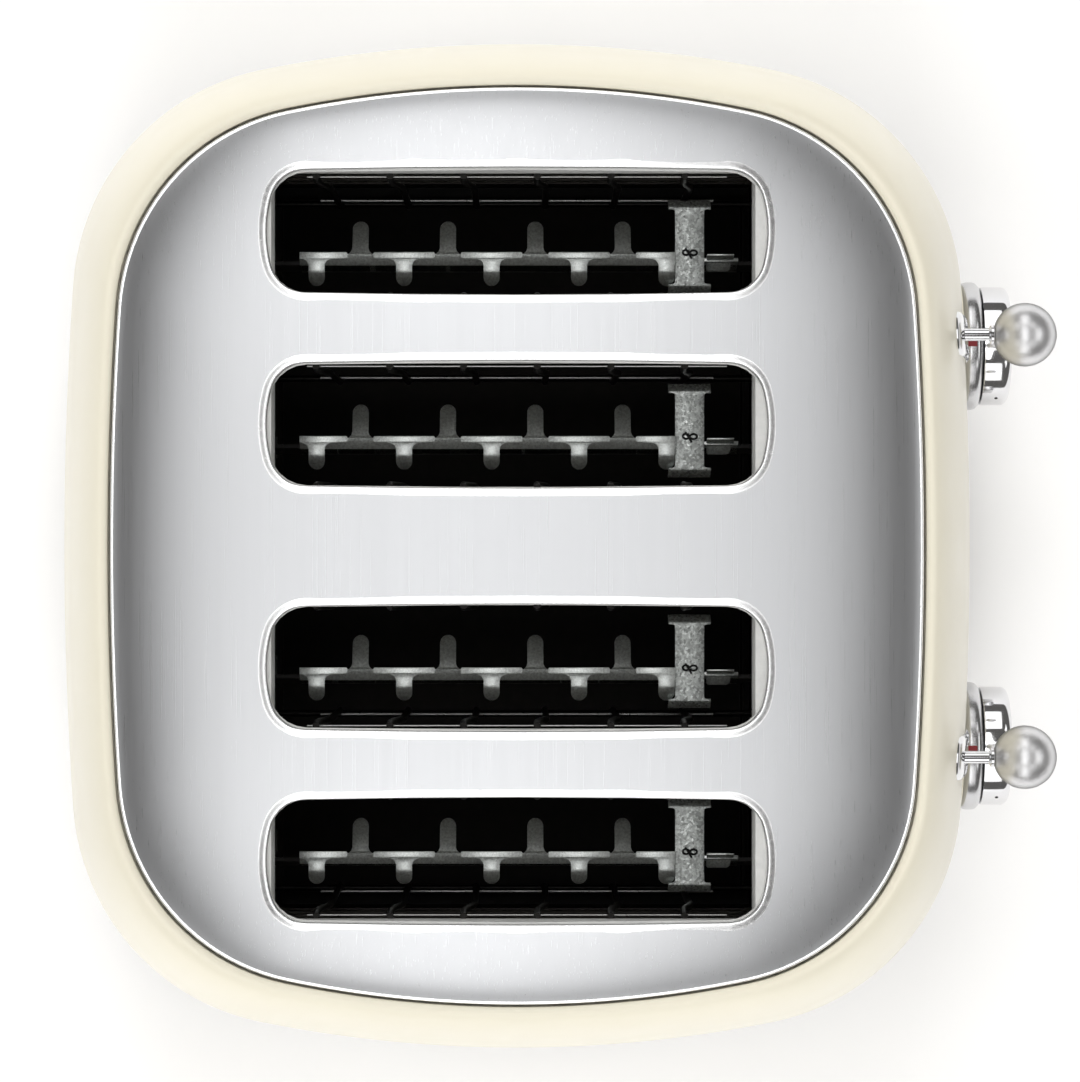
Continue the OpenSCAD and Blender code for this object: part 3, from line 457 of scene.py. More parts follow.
def front_at(x, z):
    """Distance of the front skin in front of the middle."""
    body = sizes("body")
    inset = inset_at(z)
    wide = x / (1 - inset / HALF_W)
    reach = HALF_D - body.face_bow + math.sqrt(body.face_bow ** 2 - wide ** 2)
    return reach * (1 - inset / HALF_D)


def slot_outline(grow):
    """Outline of a slot about its own middle, grown outwards. Its long sides are all but straight."""
    plate = sizes("plate")
    side_bow = 3.0
    return outline(plate.slot_width / 2 + grow, plate.slot_length / 2 + grow, side_bow + grow,
                   plate.slot_end_bow + grow, plate.slot_corner + grow, (2, 10, 8))


# ---------------------------------------------------------------- finishes

def tinted(base, share):
    return tuple(min(1.0, max(0.0, channel * share)) for channel in base)


class Finish:
    """A Principled finish on Object coordinates. Numbers that are the same all over go on its sockets."""

    def __init__(self, name, base, metallic=0.0, roughness=0.4, **sockets):
        self.base = base
        self.material = bpy.data.materials.new(name)
        self.material.use_nodes = True
        self.nodes, self.links = self.material.node_tree.nodes, self.material.node_tree.links
        self.shader = self.nodes["Principled BSDF"]
        self.shader.inputs["Base Color"].default_value = (*base, 1.0)
        self.shader.inputs["Metallic"].default_value = metallic
        self.shader.inputs["Roughness"].default_value = roughness
        for socket, value in sockets.items():
            self.shader.inputs[socket.replace("_", " ")].default_value = value
        self.place = self.nodes.new("ShaderNodeTexCoord").outputs["Object"]

    def node(self, kind, **numbers):
        """A new node with numbers on its inputs. An underscore in an input's name stands for a space."""
        made = self.nodes.new("ShaderNode" + kind)
        for socket, value in numbers.items():
            made.inputs[socket.replace("_", " ")].default_value = value
        return made

    def texture(self, kind, place=None, **numbers):
        made = self.node("Tex" + kind, **numbers)
        self.links.new(self.place if place is None else place, made.inputs["Vector"])
        return made

    def stretched(self, scale):
        mapping = self.node("Mapping", Scale=scale)
        self.links.new(self.place, mapping.inputs["Vector"])
        return mapping.outputs["Vector"]

    def noise(self, scale, detail=3.0, roughness=0.5, place=None):
        return self.texture("Noise", place, Scale=scale, Detail=detail, Roughness=roughness).outputs["Fac"]

    def cells(self, scale, place=None):
        """Cells with three tones of their own, and the distance from their middles."""
        cells = self.texture("Voronoi", place, Scale=scale)
        tones = self.node("SeparateColor")
        self.links.new(cells.outputs["Color"], tones.inputs["Color"])
        return [tones.outputs[name] for name in ("Red", "Green", "Blue")], cells.outputs["Distance"]

    def spread(self, value, low, high, start=0.3, stop=0.7):
        """Spread the middle of a pattern over a range of numbers."""
        step = self.node("MapRange", From_Min=start, From_Max=stop, To_Min=low, To_Max=high)
        self.links.new(value, step.inputs["Value"])
        return step.outputs["Result"]

    def mixed(self, value, first, second):
        """Colour that runs from one to another along a pattern. Each is a colour or a socket."""
        mix = self.nodes.new("ShaderNodeMix")
        mix.data_type = "RGBA"
        self.links.new(value, mix.inputs["Factor"])
        for name, colour_end in (("A", first), ("B", second)):
            if isinstance(colour_end, tuple):
                mix.inputs[name].default_value = (*colour_end, 1.0)
            else:
                self.links.new(colour_end, mix.inputs[name])
        return mix.outputs["Result"]

    def colours(self, value, first, second):
        self.links.new(self.mixed(value, first, second), self.shader.inputs["Base Color"])

    def tints(self, value, dark, light):
        """Let the base colour wander between two tints of itself."""
        self.colours(value, tinted(self.base, dark), tinted(self.base, light))

    def gloss(self, value, low, high, start=0.3, stop=0.7):
        self.links.new(self.spread(value, low, high, start, stop), self.shader.inputs["Roughness"])

    def grain(self, value, strength, distance):
        bump = self.node("Bump", Strength=strength, Distance=distance)
        self.links.new(value, bump.inputs["Height"])
        self.links.new(bump.outputs["Normal"], self.shader.inputs["Normal"])


def cream_enamel():
    made = Finish("cream enamel", sizes("finishes").cream, roughness=0.32, Coat_Weight=0.12,
                  Coat_Roughness=0.16, Specular_IOR_Level=0.35)
    made.tints(made.noise(14.0, 2.0), 0.985, 1.015)
    made.gloss(made.noise(60.0), 0.28, 0.36)
    made.grain(made.noise(520.0, 2.0), 0.05, 0.0004)
    return made


def cream_moulding():
    made = Finish("cream moulding", sizes("finishes").panel, roughness=0.42)
    made.tints(made.noise(30.0), 0.98, 1.02)
    made.grain(made.noise(2600.0), 0.12, 0.0002)
    return made


def brushed_plate():
    """Steel brushed across the slots: long faint lines along X."""
    made = Finish("brushed plate", sizes("finishes").plate, metallic=1.0, roughness=0.29)
    fine = made.noise(1.0, 4.0, 0.6, made.stretched((14.0, 3600.0, 3600.0)))
    wide = made.noise(1.0, 2.0, place=made.stretched((5.0, 420.0, 420.0)))
    made.tints(wide, 0.985, 1.015)
    made.gloss(fine, 0.27, 0.31)
    made.grain(fine, 0.04, 0.00006)
    return made


def chrome_plating():
    made = Finish("chrome plating", sizes("finishes").chrome, metallic=1.0, roughness=0.07)
    smear = made.noise(180.0, 4.0, 0.6)
    made.gloss(smear, 0.05, 0.11)
    made.tints(smear, 0.99, 1.01)
    return made


def satin_chrome():
    """Matt chrome with a black edge tint that paints shade towards the rim of a ball."""
    # painted shade: the black specular tint darkens the reflection at the rim of a ball
    made = Finish("satin chrome", sizes("finishes").satin, metallic=1.0, roughness=0.38,
                  Specular_Tint=(0.0, 0.0, 0.0, 1.0))
    grain = made.noise(2400.0, 2.0)
    made.gloss(grain, 0.35, 0.41)
    made.grain(grain, 0.05, 0.00008)
    return made


def satin_ring():
    chrome = sizes("finishes").chrome
    return speckled("satin ring", tinted(chrome, 0.80), tinted(chrome, 0.86), 1.0, (0.20, 0.27), 900.0,
                    0.03, 0.0001)


def index_mark():
    mark = sizes("finishes").mark
    return speckled("index mark", tinted(mark, 0.9), tinted(mark, 1.1), 0.0, (0.35, 0.45), 900.0)


def rack_steel():
    made = Finish("rack steel", sizes("finishes").zinc, metallic=0.85, roughness=0.38)
    mottle = made.spread(made.noise(1300.0, 4.0, 0.65), 0.0, 1.0, 0.38, 0.62)
    made.tints(mottle, 0.92, 1.28)
    made.gloss(mottle, 0.30, 0.46, 0.0, 1.0)
    made.grain(made.noise(900.0), 0.10, 0.0002)
    return made


def spangled_zinc():
    """Galvanised sheet with a fine frosted spangle."""
    made = Finish("spangled zinc", sizes("finishes").zinc, metallic=0.8, roughness=0.5)
    (tone, frost, height), _ = made.cells(1500.0)
    made.tints(tone, 0.62, 1.3)
    made.gloss(frost, 0.38, 0.62, 0.0, 1.0)
    made.grain(height, 0.25, 0.0002)
    return made


def tray_sheet():
    """Sheet of the crumb tray: bright at its front, and painted shade, near black, where it lies inside the body.
    """
    made = Finish("tray sheet", (0.3, 0.3, 0.3), metallic=0.7, roughness=0.4)
    axes = made.node("SeparateXYZ")
    made.links.new(made.place, axes.inputs["Vector"])
    bright_from, fade = CENTRE_Y + HALF_D - 0.028, 0.006
    bright = made.spread(axes.outputs["Y"], 0.0, 1.0, bright_from - fade, bright_from)
    mottle = made.noise(220.0, 4.0, 0.6)
    # painted shade: the part of the tray inside the body is coloured near black for the shade it lies in
    painted_shade_colour = made.mixed(mottle, (0.010, 0.009, 0.008), (0.026, 0.023, 0.020))
    plain_sheet_colour = made.mixed(mottle, (0.42, 0.42, 0.415), (0.52, 0.52, 0.51))
    made.colours(bright, painted_shade_colour, plain_sheet_colour)
    made.gloss(bright, 0.60, 0.34, 0.0, 1.0)
    made.grain(mottle, 0.08, 0.0003)
    return made


def mica_card():
    """Split mica sheet: dull flakes, a little glossy."""
    made = Finish("mica card", (0.350, 0.335, 0.295), roughness=0.45)
    (tone, sheen, _), flake = made.cells(130.0, made.stretched((1.0, 1.0, 0.7)))
    made.colours(tone, (0.300, 0.290, 0.255), (0.400, 0.380, 0.335))
    made.gloss(sheen, 0.32, 0.58, 0.0, 1.0)
    made.grain(flake, 0.1, 0.0003)
    return made


def circuit_board():
    made = Finish("circuit board", (0.02, 0.11, 0.045), roughness=0.38)
    tracks = made.texture("Brick", made.stretched((1.0, 1.0, 1.0)), Scale=140.0, Mortar_Size=0.03,
                          Color1=(0.018, 0.10, 0.040, 1.0), Color2=(0.024, 0.12, 0.050, 1.0),
                          Mortar=(0.06, 0.24, 0.10, 1.0))
    made.links.new(tracks.outputs["Color"], made.shader.inputs["Base Color"])
    made.grain(tracks.outputs["Fac"], 0.2, 0.0002)
    return made


def speckled(name, dark, light, metallic, rough, scale, bump=0.1, depth=0.0003):
    """A plain finish whose colour and gloss wander between two ends at one scale."""
    made = Finish(name, tuple((a + b) / 2 for a, b in zip(dark, light)), metallic, sum(rough) / 2)
    pattern = made.noise(scale, 4.0, 0.6)
    made.colours(made.spread(pattern, 0.0, 1.0), dark, light)
    made.gloss(pattern, *rough)
    made.grain(pattern, bump, depth)
    return made


MAKERS = {
    "cream enamel": cream_enamel,
    "cream moulding": cream_moulding,
    "brushed plate": brushed_plate,
    "chrome plating": chrome_plating,
    "satin chrome": satin_chrome,
    "satin ring": satin_ring,
    "index mark": index_mark,
    "rack steel": rack_steel,
    "spangled zinc": spangled_zinc,
    "mica card": mica_card,
    "circuit board": circuit_board,
    "tray sheet": tray_sheet,
}

# Dark and light colour, metallic, lowest and highest roughness, scale, and where they differ bump and depth.
SPECKLED = {
    "polished edge": ((0.88, 0.885, 0.89), (0.93, 0.93, 0.935), 1.0, (0.20, 0.28), 700.0, 0.02, 0.0001),
    "liner sheet": ((0.70, 0.70, 0.685), (0.80, 0.80, 0.78), 0.15, (0.36, 0.48), 300.0, 0.06),
    # painted shade: the chambers and their front frames are coloured dark for the shade inside the slots
    "chamber sheet in painted shade": ((0.085, 0.084, 0.076), (0.150, 0.147, 0.132), 0.3, (0.42, 0.62), 160.0),
    "plinth steel": ((0.62, 0.62, 0.62), (0.70, 0.70, 0.70), 1.0, (0.22, 0.32), 260.0, 0.05),
    # painted shade: the carriages, the rack arms and the base pan are coloured near black for the shade inside and
    # under the body
    "sheet in painted shade": ((0.016, 0.015, 0.014), (0.030, 0.028, 0.026), 0.3, (0.50, 0.68), 220.0, 0.08),
    # painted shade: the uprights and hinge wires of the guards are coloured near black for the shade inside the
    # slots
    "guard wire": ((0.018, 0.017, 0.016), (0.034, 0.032, 0.030), 0.8, (0.30, 0.46), 800.0),
    "bright wire": ((0.50, 0.50, 0.49), (0.62, 0.62, 0.61), 1.0, (0.26, 0.36), 800.0),
    "resistance ribbon": ((0.035, 0.031, 0.028), (0.060, 0.053, 0.047), 0.6, (0.40, 0.55), 700.0),
    "black rubber": ((0.018, 0.018, 0.018), (0.032, 0.031, 0.030), 0.0, (0.62, 0.80), 700.0, 0.2),
    "black moulding": ((0.020, 0.020, 0.021), (0.034, 0.034, 0.035), 0.0, (0.40, 0.55), 1200.0, 0.15),
    "zinc screw": ((0.42, 0.42, 0.41), (0.55, 0.55, 0.54), 1.0, (0.28, 0.42), 900.0),
    "shadow": ((0.010, 0.010, 0.010), (0.018, 0.018, 0.018), 0.0, (0.6, 0.8), 500.0),
}


def coated(piece, name):
    """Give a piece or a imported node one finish, made the first time it is asked for."""
    material = bpy.data.materials.get(name)
    if material is None:
        made = MAKERS[name]() if name in MAKERS else speckled(name, *SPECKLED[name])
        material = made.material
    if piece.data.materials:
        for k in range(len(piece.data.materials)):
            piece.data.materials[k] = material
    else:
        piece.data.materials.append(material)


def fitted(piece, body, slot, name, *nodes, angle=35.0):
    """Finish a new piece: its shading, its finish, the body it rides on and the nodes it stands for."""
    smooth(piece, angle)
    coated(piece, name)
    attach(piece, body)
    if nodes:
        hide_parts(*nodes)
    return piece


# ---------------------------------------------------------------- body

class TOASTER_OT_body(bpy.types.Operator):
    """Press the enamelled body: one wall from skirt to rim with a rolled lip and the openings in its faces"""
    bl_idname = "toaster.body"
    bl_label = "Enamelled body"

    def execute(self, context):
        points = widest_outline()
        shell = loft("body_skin", [drawn_in(points, inset, z) for inset, z in self.section()], "loop")
        for side in SIDES:
            cut_out(shell, self.lever_slot(side, sizes("lever").slot_width + 0.0003))
        room, before, behind = 0.00015, FACE_Y - 0.004, FACE_Y + 0.010
        low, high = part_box("button_panel")
        cut_out(shell, rounded_block("panel_opening", low.x - room, high.x + room, low.z - room,
                                     high.z + room, 0.0091, before, FACE_Y + 0.007))
        low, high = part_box("cord_gland")
        radius = (high.z - low.z) / 2 + room
        cut_out(shell, turned("gland_opening", [(radius, high.y + 0.002), (radius, high.y - 0.014)],
                              *middle_of("cord_gland")))
        for side in SIDES:
            cut_out(shell, turned("shaft_opening", [(0.005, before), (0.005, behind)],
                                  *middle_of(f"dial_knob_{side}")))
        fitted(shell, "housing", "cream_paint", "cream enamel",
               "body_front", "body_rear", "body_flank_left", "body_flank_right", angle=30.0)
        bosses = [self.boss(side) for side in SIDES]
        fitted(joined("dial_bosses", bosses), "housing", "cream_paint", "cream enamel", angle=40.0)
        return {"FINISHED"}

    def section(self):
        """The wall cut across, as (inset, height): up the outside, over the lip and down the inside."""
        body = sizes("body")
        low_steps, high_steps, inner_steps = 8, 36, 16
        break_edge, ledge, step_down, flange = 0.0006, 0.0025, 0.002, 0.014
        skin = [(body.skirt_inset + break_edge, SKIRT_Z), (body.skirt_inset + 0.0001, SKIRT_Z + break_edge)]
        levels = [SKIRT_Z + (body.widest - SKIRT_Z) * i / low_steps for i in range(1, low_steps + 1)]
        levels += [body.widest + (RIM_Z - body.widest)
                   * math.sin(math.pi / 2 * i / high_steps) ** (2 / body.shoulder)
                   for i in range(1, high_steps + 1)]
        skin += [(inset_at(z), z) for z in levels]
        lean = body.rim_inset - body.lip
        roll = [(lean + body.lip * sine(a), RIM_Z - body.lip * (1 - cosine(a)))
                for a in (15, 30, 45, 60, 75, 90)]
        seat = RIM_Z - body.recess
        under = seat - step_down
        recess = [(body.rim_inset, seat), (body.rim_inset + ledge, seat), (body.rim_inset + ledge, under)]
        levels = [under - (under - SKIRT_Z - step_down) * (i / inner_steps) for i in range(inner_steps + 1)]
        inner = [(inset_at(z + body.wall) + body.wall, z) for z in levels]
        foot = [(body.skirt_inset + flange, SKIRT_Z + step_down), (body.skirt_inset + flange, SKIRT_Z)]
        return skin + roll + recess + inner + foot

    def lever_slot(self, side, width):
        """A cutter with round ends, as long as the travel of the lever."""
        x, top = middle_of(f"lever_stem_{side}")
        low = top - lever_travel()
        arc = [(x + width / 2 * cosine(a), top + width / 2 * sine(a)) for a in range(0, 181, 15)]
        arc += [(x + width / 2 * cosine(a), low + width / 2 * sine(a)) for a in range(180, 361, 15)]
        return sheet_plate("lever_opening", arc, FACE_Y - 0.004, FACE_Y + 0.040, "Y")

    def boss(self, side):
        """A raised round seat, flaring out into the skin behind it and flat where the skirt ends it."""
        x, z = middle_of(f"dial_knob_{side}")
        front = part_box("dial_rings")[1].y
        radius = sizes("dial").boss / 2
        lowest = SKIRT_Z + 0.0003
        profile = [(radius * 0.30, 0.0002), (radius - 0.0010, 0.0), (radius - 0.0004, 0.0002),
                   (radius, 0.0009), (radius, 0.0020), (radius + 0.0003, 0.0031),
                   (radius + 0.0012, 0.0044), (radius + 0.0028, 0.0056),
                   (radius + 0.0050, 0.0064), (radius * 0.30, 0.0064)]
        rings = [[Vector((point.x, point.y, max(lowest, point.z)))
                  for point in round_ring(r, x, front + back, z, 72)] for r, back in profile]
        return loft("dial_boss", rings, "loop")


def rounded_pairs(x0, x1, z0, z1, radius, steps=8):
    """A rounded rectangle as (x, z) pairs, in order."""
    pairs = []
    for cx, cz, start in ((x1 - radius, z1 - radius, 0), (x0 + radius, z1 - radius, 90),
                          (x0 + radius, z0 + radius, 180), (x1 - radius, z0 + radius, 270)):
        pairs += rounded_corner((cx, cz), radius, start, start + 90, steps)
    return pairs


def rounded_block(name, x0, x1, z0, z1, radius, y0, y1):
    return sheet_plate(name, rounded_pairs(x0, x1, z0, z1, radius), y0, y1, "Y")


class TOASTER_OT_plate(bpy.types.Operator):
    """Press the brushed top plate, gently domed, with a turned down edge and four rolled slots"""
    bl_idname = "toaster.plate"
    bl_label = "Brushed top plate"

    def execute(self, context):
        plate, body = sizes("plate"), sizes("body")
        points = widest_outline()
        inset = body.rim_inset + plate.gap + plate.trim
        edge_z = self.height(1.0)
        low = edge_z - plate.edge
        turns = list(range(90, 4, -5)) + [3, 1]
        shares = [sine(a) ** (2 / plate.shoulder) for a in turns] + [0.2, 0.1, 0.02, 0.0]
        outer = [(inset, low, 1.0)] + [(inset, self.height(s), s) for s in shares]
        under = inset + plate.sheet
        inner = [(under, self.height(s) - plate.sheet, s) for s in shares[:0:-1]] + [(under, low, 1.0)]
        sheet = loft("top_plate_pressing", [drawn_in(points, *ring) for ring in outer + inner], "loop")
        self.scales = OutlineScale([(x * (1 - inset / HALF_W), y * (1 - inset / HALF_D)) for x, y in points])
        rims, walls = [self.trim(points, inset, edge_z, low)], []
        overlap, clear = 0.0008, 0.010
        for side, place in SLOTS:
            x = slot_x(side, place)
            hole = [(x + px, CENTRE_Y + py) for px, py in slot_outline(plate.frame - overlap)]
            cut_out(sheet, sheet_plate("slot_opening", hole, edge_z - clear, edge_z + clear))
            rims.append(self.slot_frame(x))
            walls += self.slot_walls(x)
        fitted(sheet, "housing", "stainless", "brushed plate", "top_plate", angle=42.0)
        fitted(joined("polished_rims", rims), "housing", "stainless", "polished edge", angle=42.0)
        fitted(joined("slot_walls", walls), "housing", "stainless", "liner sheet", angle=42.0)
        return {"FINISHED"}

    def height(self, share):
        """Height of the dome a share of the way from its middle to its edge."""
        plate = sizes("plate")
        fall = 1 - math.sqrt(1 - (share * plate.cut_off) ** plate.shoulder)
        return PLATE_TOP - plate.raised - plate.dome * fall

    def trim(self, points, inset, edge_z, low):
        """The polished edge: a narrow ledge round the plate, turned down on its outside."""
        outer, inner = inset - sizes("plate").trim, inset - 0.0001
        turn = 0.0004
        ledge, lean = edge_z - 0.0003, 0.00007
        profile = [(outer, low), (outer, ledge - turn)]
        profile += [(outer + turn * (1 - cosine(a)), ledge - turn + turn * sine(a)) for a in (22, 45, 68, 90)]
        profile += [(inner, ledge - lean), (inner, low)]
        return loft("trim", [drawn_in(points, *ring) for ring in profile], "loop")

    def slot_frame(self, x):
        """The polished frame of a slot: it swells softly out of the plate and rolls down into the slot."""
        plate = sizes("plate")
        grow, raised = plate.frame, plate.raised
        roll, sheet = plate.roll, plate.sheet
        swell, steps, below = 0.0018, 8, roll + 0.0006

        def ring(out, drop):
            return [Vector((x + px, CENTRE_Y + py, self.height(self.scales.at(x + px, py)) + raised - drop))
                    for px, py in slot_outline(out)]
        rings = [ring(grow - swell * k / steps, raised * 0.5 * (1 + math.cos(math.pi * k / steps)))
                 for k in range(steps + 1)]
        rings.append(ring(roll + 0.00004, 0.0))
        rings += [ring(roll * (1 - sine(a)), roll * (1 - cosine(a))) for a in range(8, 91, 9)]
        rings += [ring(0.0, roll), ring(0.0, below), ring(sheet, below), ring(sheet, roll)]
        bend = roll - sheet
        rings += [ring(roll - bend * sine(a), roll - bend * cosine(a)) for a in range(75, -1, -15)]
        rings.append(ring(grow, sheet))
        return loft("slot_frame", rings, "loop")

    def slot_walls(self, x):
        """The wall under the frame of a slot, and the two long cheeks of the liner below it."""
        plate = sizes("plate")
        low, top = COLLAR_TOP + 0.0001, self.height(0.6) - plate.roll - 0.0006
        outer, cheek, cheek_depth, end_gap = 0.0001, 0.0005, 0.0175, 0.0034
        rings = [[Vector((x + px, CENTRE_Y + py, z)) for px, py in slot_outline(out)]
                 for out, z in ((outer, top), (outer, low), (plate.sheet, low), (plate.sheet, top))]
        parts = [loft("slot_wall", rings, "loop")]
        reach, near = plate.slot_length / 2 - end_gap, plate.slot_width / 2 + outer
        for x0, x1 in ((-near - cheek, -near), (near, near + cheek)):
            parts.append(block("cheek", (x + x0, CENTRE_Y - reach, low - cheek_depth),
                               (x + x1, CENTRE_Y + reach, low - 0.0002)))
        return parts


class OutlineScale:
    """How far out a place lies: nought in the middle of an outline, and one on the outline itself."""

    def __init__(self, points):
        turns = sorted((math.atan2(y, x), math.hypot(x, y)) for x, y in points)
        first, last = turns[0], turns[-1]
        self.turns = [(last[0] - 2 * math.pi, last[1])] + turns + [(first[0] + 2 * math.pi, first[1])]

    def at(self, x, y):
        turn = math.atan2(y, x)
        for (a, ra), (b, rb) in zip(self.turns, self.turns[1:]):
            if a <= turn <= b:
                reach = ra + (rb - ra) * (turn - a) / (b - a)
                return min(1.0, math.hypot(x, y) / reach)
        return 1.0


class TOASTER_OT_plinth(bpy.types.Operator):
    """Bend the plinth under the body and cut the two openings for the crumb trays in its back"""
    bl_idname = "toaster.plinth"
    bl_label = "Plinth"

    def execute(self, context):
        points = widest_outline()
        inset = HALF_W - PLINTH_HIGH.x
        low, high = PLINTH_LOW.z, PLINTH_HIGH.z
        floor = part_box("base_pan")[1].z
        inner = inset + 0.0025
        ledge, ledge_top = inner + 0.008, floor + 0.002
        profile = [(inset + 0.0007, low), (inset + 0.0002, low + 0.0002), (inset, low + 0.0007),
                   (inset, low + 0.007), (inset, low + 0.014), (inset, high), (inner, high),
                   (inner, ledge_top), (ledge, ledge_top), (ledge, floor), (inner, floor), (inner, low)]
        plinth = loft("plinth_band", [drawn_in(points, i, z) for i, z in profile], "loop")
        for side in SIDES:
            low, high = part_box(f"crumb_tray_{side}")
            room = 0.0004
            cut_out(plinth, block("tray_opening", (low.x - room, CENTRE_Y + HALF_D * 0.6, floor),
                                  (high.x + room, CENTRE_Y + HALF_D + 0.01, high.z + room)))
        fitted(plinth, "housing", "stainless", "plinth steel", "base_plinth", angle=30.0)
        return {"FINISHED"}


# ---------------------------------------------------------------- toast racks

class TOASTER_OT_racks(bpy.types.Operator):
    """Stamp the four racks: a leaning web on its arms, with shoulders and tabs bent to either side"""
    bl_idname = "toaster.racks"
    bl_label = "Toast racks"

    aside = 0.0026      # from the middle of a slot to the top of the web
    lean = 0.29         # how far the web leans for each metre of its depth
    front, rear = -0.0500, 0.0686
    foot = 0.014        # depth of the web under the top of the rack
    tabs = 5

    def execute(self, context):
        first_x = slot_x(*SLOTS[0])
        first = self.rack("rack_%s_%s" % SLOTS[0], first_x)
        made = [first]
        for side, place in SLOTS[1:]:
            made.append(placed_copy(first, f"sheet_rack_{side}_{place}", (slot_x(side, place) - first_x, 0, 0)))
        for piece, (side, place) in zip(made, SLOTS):
            node = f"rack_{side}_{place}"
            fitted(piece, f"lever_{side}", "galvanised", "rack steel", node, angle=40.0)
            # the arm is coloured near black as painted shade inside the chamber, while the rest of the rack keeps
            # its steel colour
            fitted(self.arm(node, slot_x(side, place)), f"lever_{side}", "galvanised", "sheet in painted shade", angle=40.0)
        return {"FINISHED"}

    def rack(self, node, x):
        rack = sizes("rack")
        self.top, self.web_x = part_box(node)[1].z, x - self.aside
        self.sheet, self.thin = rack.sheet, rack.sheet * 0.75
        top, foot, lug_rear = self.top, self.top - self.foot, -0.0600
        parts = [self.web(self.front, self.rear, top - 0.0018, foot), self.apron(),
                 self.web(-0.0700, self.front, top - 0.0046, foot),
                 self.web(-0.0685, lug_rear, top - 0.0002, top - 0.0048, 0.0005), self.lug(lug_rear, -0.0676)]
        for i in range(self.tabs):
            parts.append(self.tab(rack.first_tab - i * rack.tab_pitch, -1, self.front, self.rear))
        for i in range(self.tabs - 1):
            parts.append(self.tab(rack.first_tab - (i + 0.5) * rack.tab_pitch, 1))
        piece = joined("sheet_" + node, parts)
        bevelled(piece, 0.00018)
        return piece

    def arm(self, node, x):
        """The strip at the foot of the web that runs out through both ends of the chamber."""
        low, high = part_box(node)
        self.web_x = x - self.aside
        arm = self.web(low.y - CENTRE_Y, high.y - CENTRE_Y, high.z - 0.0078, high.z - 0.0136)
        arm.name = "arm_" + node
        return arm

    def along(self, name, y0, y1, section, steps):
        """Draw a section of (x, z) pairs along the slot."""
        return loft(name, [[Vector((x, CENTRE_Y + y0 + (y1 - y0) * k / steps, z)) for x, z in section]
                           for k in range(steps + 1)], "capped")

    def web(self, y0, y1, z1, z0, thick=None):
        """A leaning strip of sheet between two heights."""
        high, low = (self.web_x - self.lean * (self.top - z) for z in (z1, z0))
        half = (thick or self.sheet) / 2
        section = [(high - half, z1), (high + half, z1), (low + half, z0), (low - half, z0)]
        return self.along("web", y0, y1, section, max(2, round((y1 - y0) / 0.012)))

    def apron(self):
        """The sloping strip under the shoulders that joins them to the web."""
        section = [(0.0002, 0.0005), (-0.0033, 0.0023), (-0.0033, 0.0023 + self.thin), (0.0002, 0.0005 + self.thin)]
        return self.along("apron", self.front, self.rear,
                          [(self.web_x + out, self.top - drop) for out, drop in section], 12)

    def lug(self, y0, y1):
        """A short sloping lug on the low X side, next to the cross plate."""
        top, slope = self.top - 0.0046, 0.55
        profile = [(0.0, y0, y1), (0.0034, y0, y1), (0.0044, y0, y1 + 0.0003), (0.0049, y0 - 0.0004, y1 + 0.0012)]
        return loft("lug", [strip_ring(self.web_x - out, CENTRE_Y + a, CENTRE_Y + b, top - slope * out,
                                       Vector((0, 0, self.thin))) for out, a, b in profile], "capped")

    def tab(self, y, way, front=-1.0, rear=1.0):
        """A bent tab: on one side it grows from a flat shoulder, on the other from a dipping root."""
        rack = sizes("rack")
        width, reach, drop = rack.tab_width, rack.tab_reach, rack.tab_drop
        if way < 0:
            shoulder = rack.shoulder_width
            root = [(-0.0008, shoulder - 0.0006), (-0.0004, shoulder), (0.0008, shoulder),
                    (0.0012, shoulder - 0.0004), (0.0014, shoulder - 0.0016), (0.0015, width + 0.0034),
                    (0.0019, width + 0.0017), (0.0025, width + 0.0006), (0.0034, width)]
            bend, dip, dip_until = 0.0052, 0.0, 0.0
        else:
            root = [(-0.0014, 0.0082), (-0.0006, 0.0079), (0.0002, 0.0074), (0.0008, 0.0064),
                    (0.0011, 0.0058), (0.0015, width + 0.0004), (0.0022, width)]
            bend, dip, dip_until = 0.0003, 1.2, 0.0006
            reach, drop = reach + 0.0012, drop + 0.0035
        last, neck = root[-1][0], reach - width / 2
        straight = [(last + (neck - last) * k / 6, width) for k in range(1, 7)]
        end = [(reach - width / 2 * (1 - sine(a)), width * cosine(a)) for a in (15, 30, 45, 60, 72, 82)]
        rings = []
        for out, across in root + straight + end:
            share = max(0.0, (out - bend) / (reach - bend))
            z = self.top - drop * share ** 1.5 - dip * max(0.0, dip_until - out)
            lean = 1.5 * drop / (reach - bend) * share ** 0.5
            rings.append(strip_ring(self.web_x + way * out, CENTRE_Y + max(y - across / 2, front),
                                    CENTRE_Y + min(y + across / 2, rear), z,
                                    Vector((way * lean, 0, 1)).normalized() * self.thin))
        return loft("tab", rings, "capped")


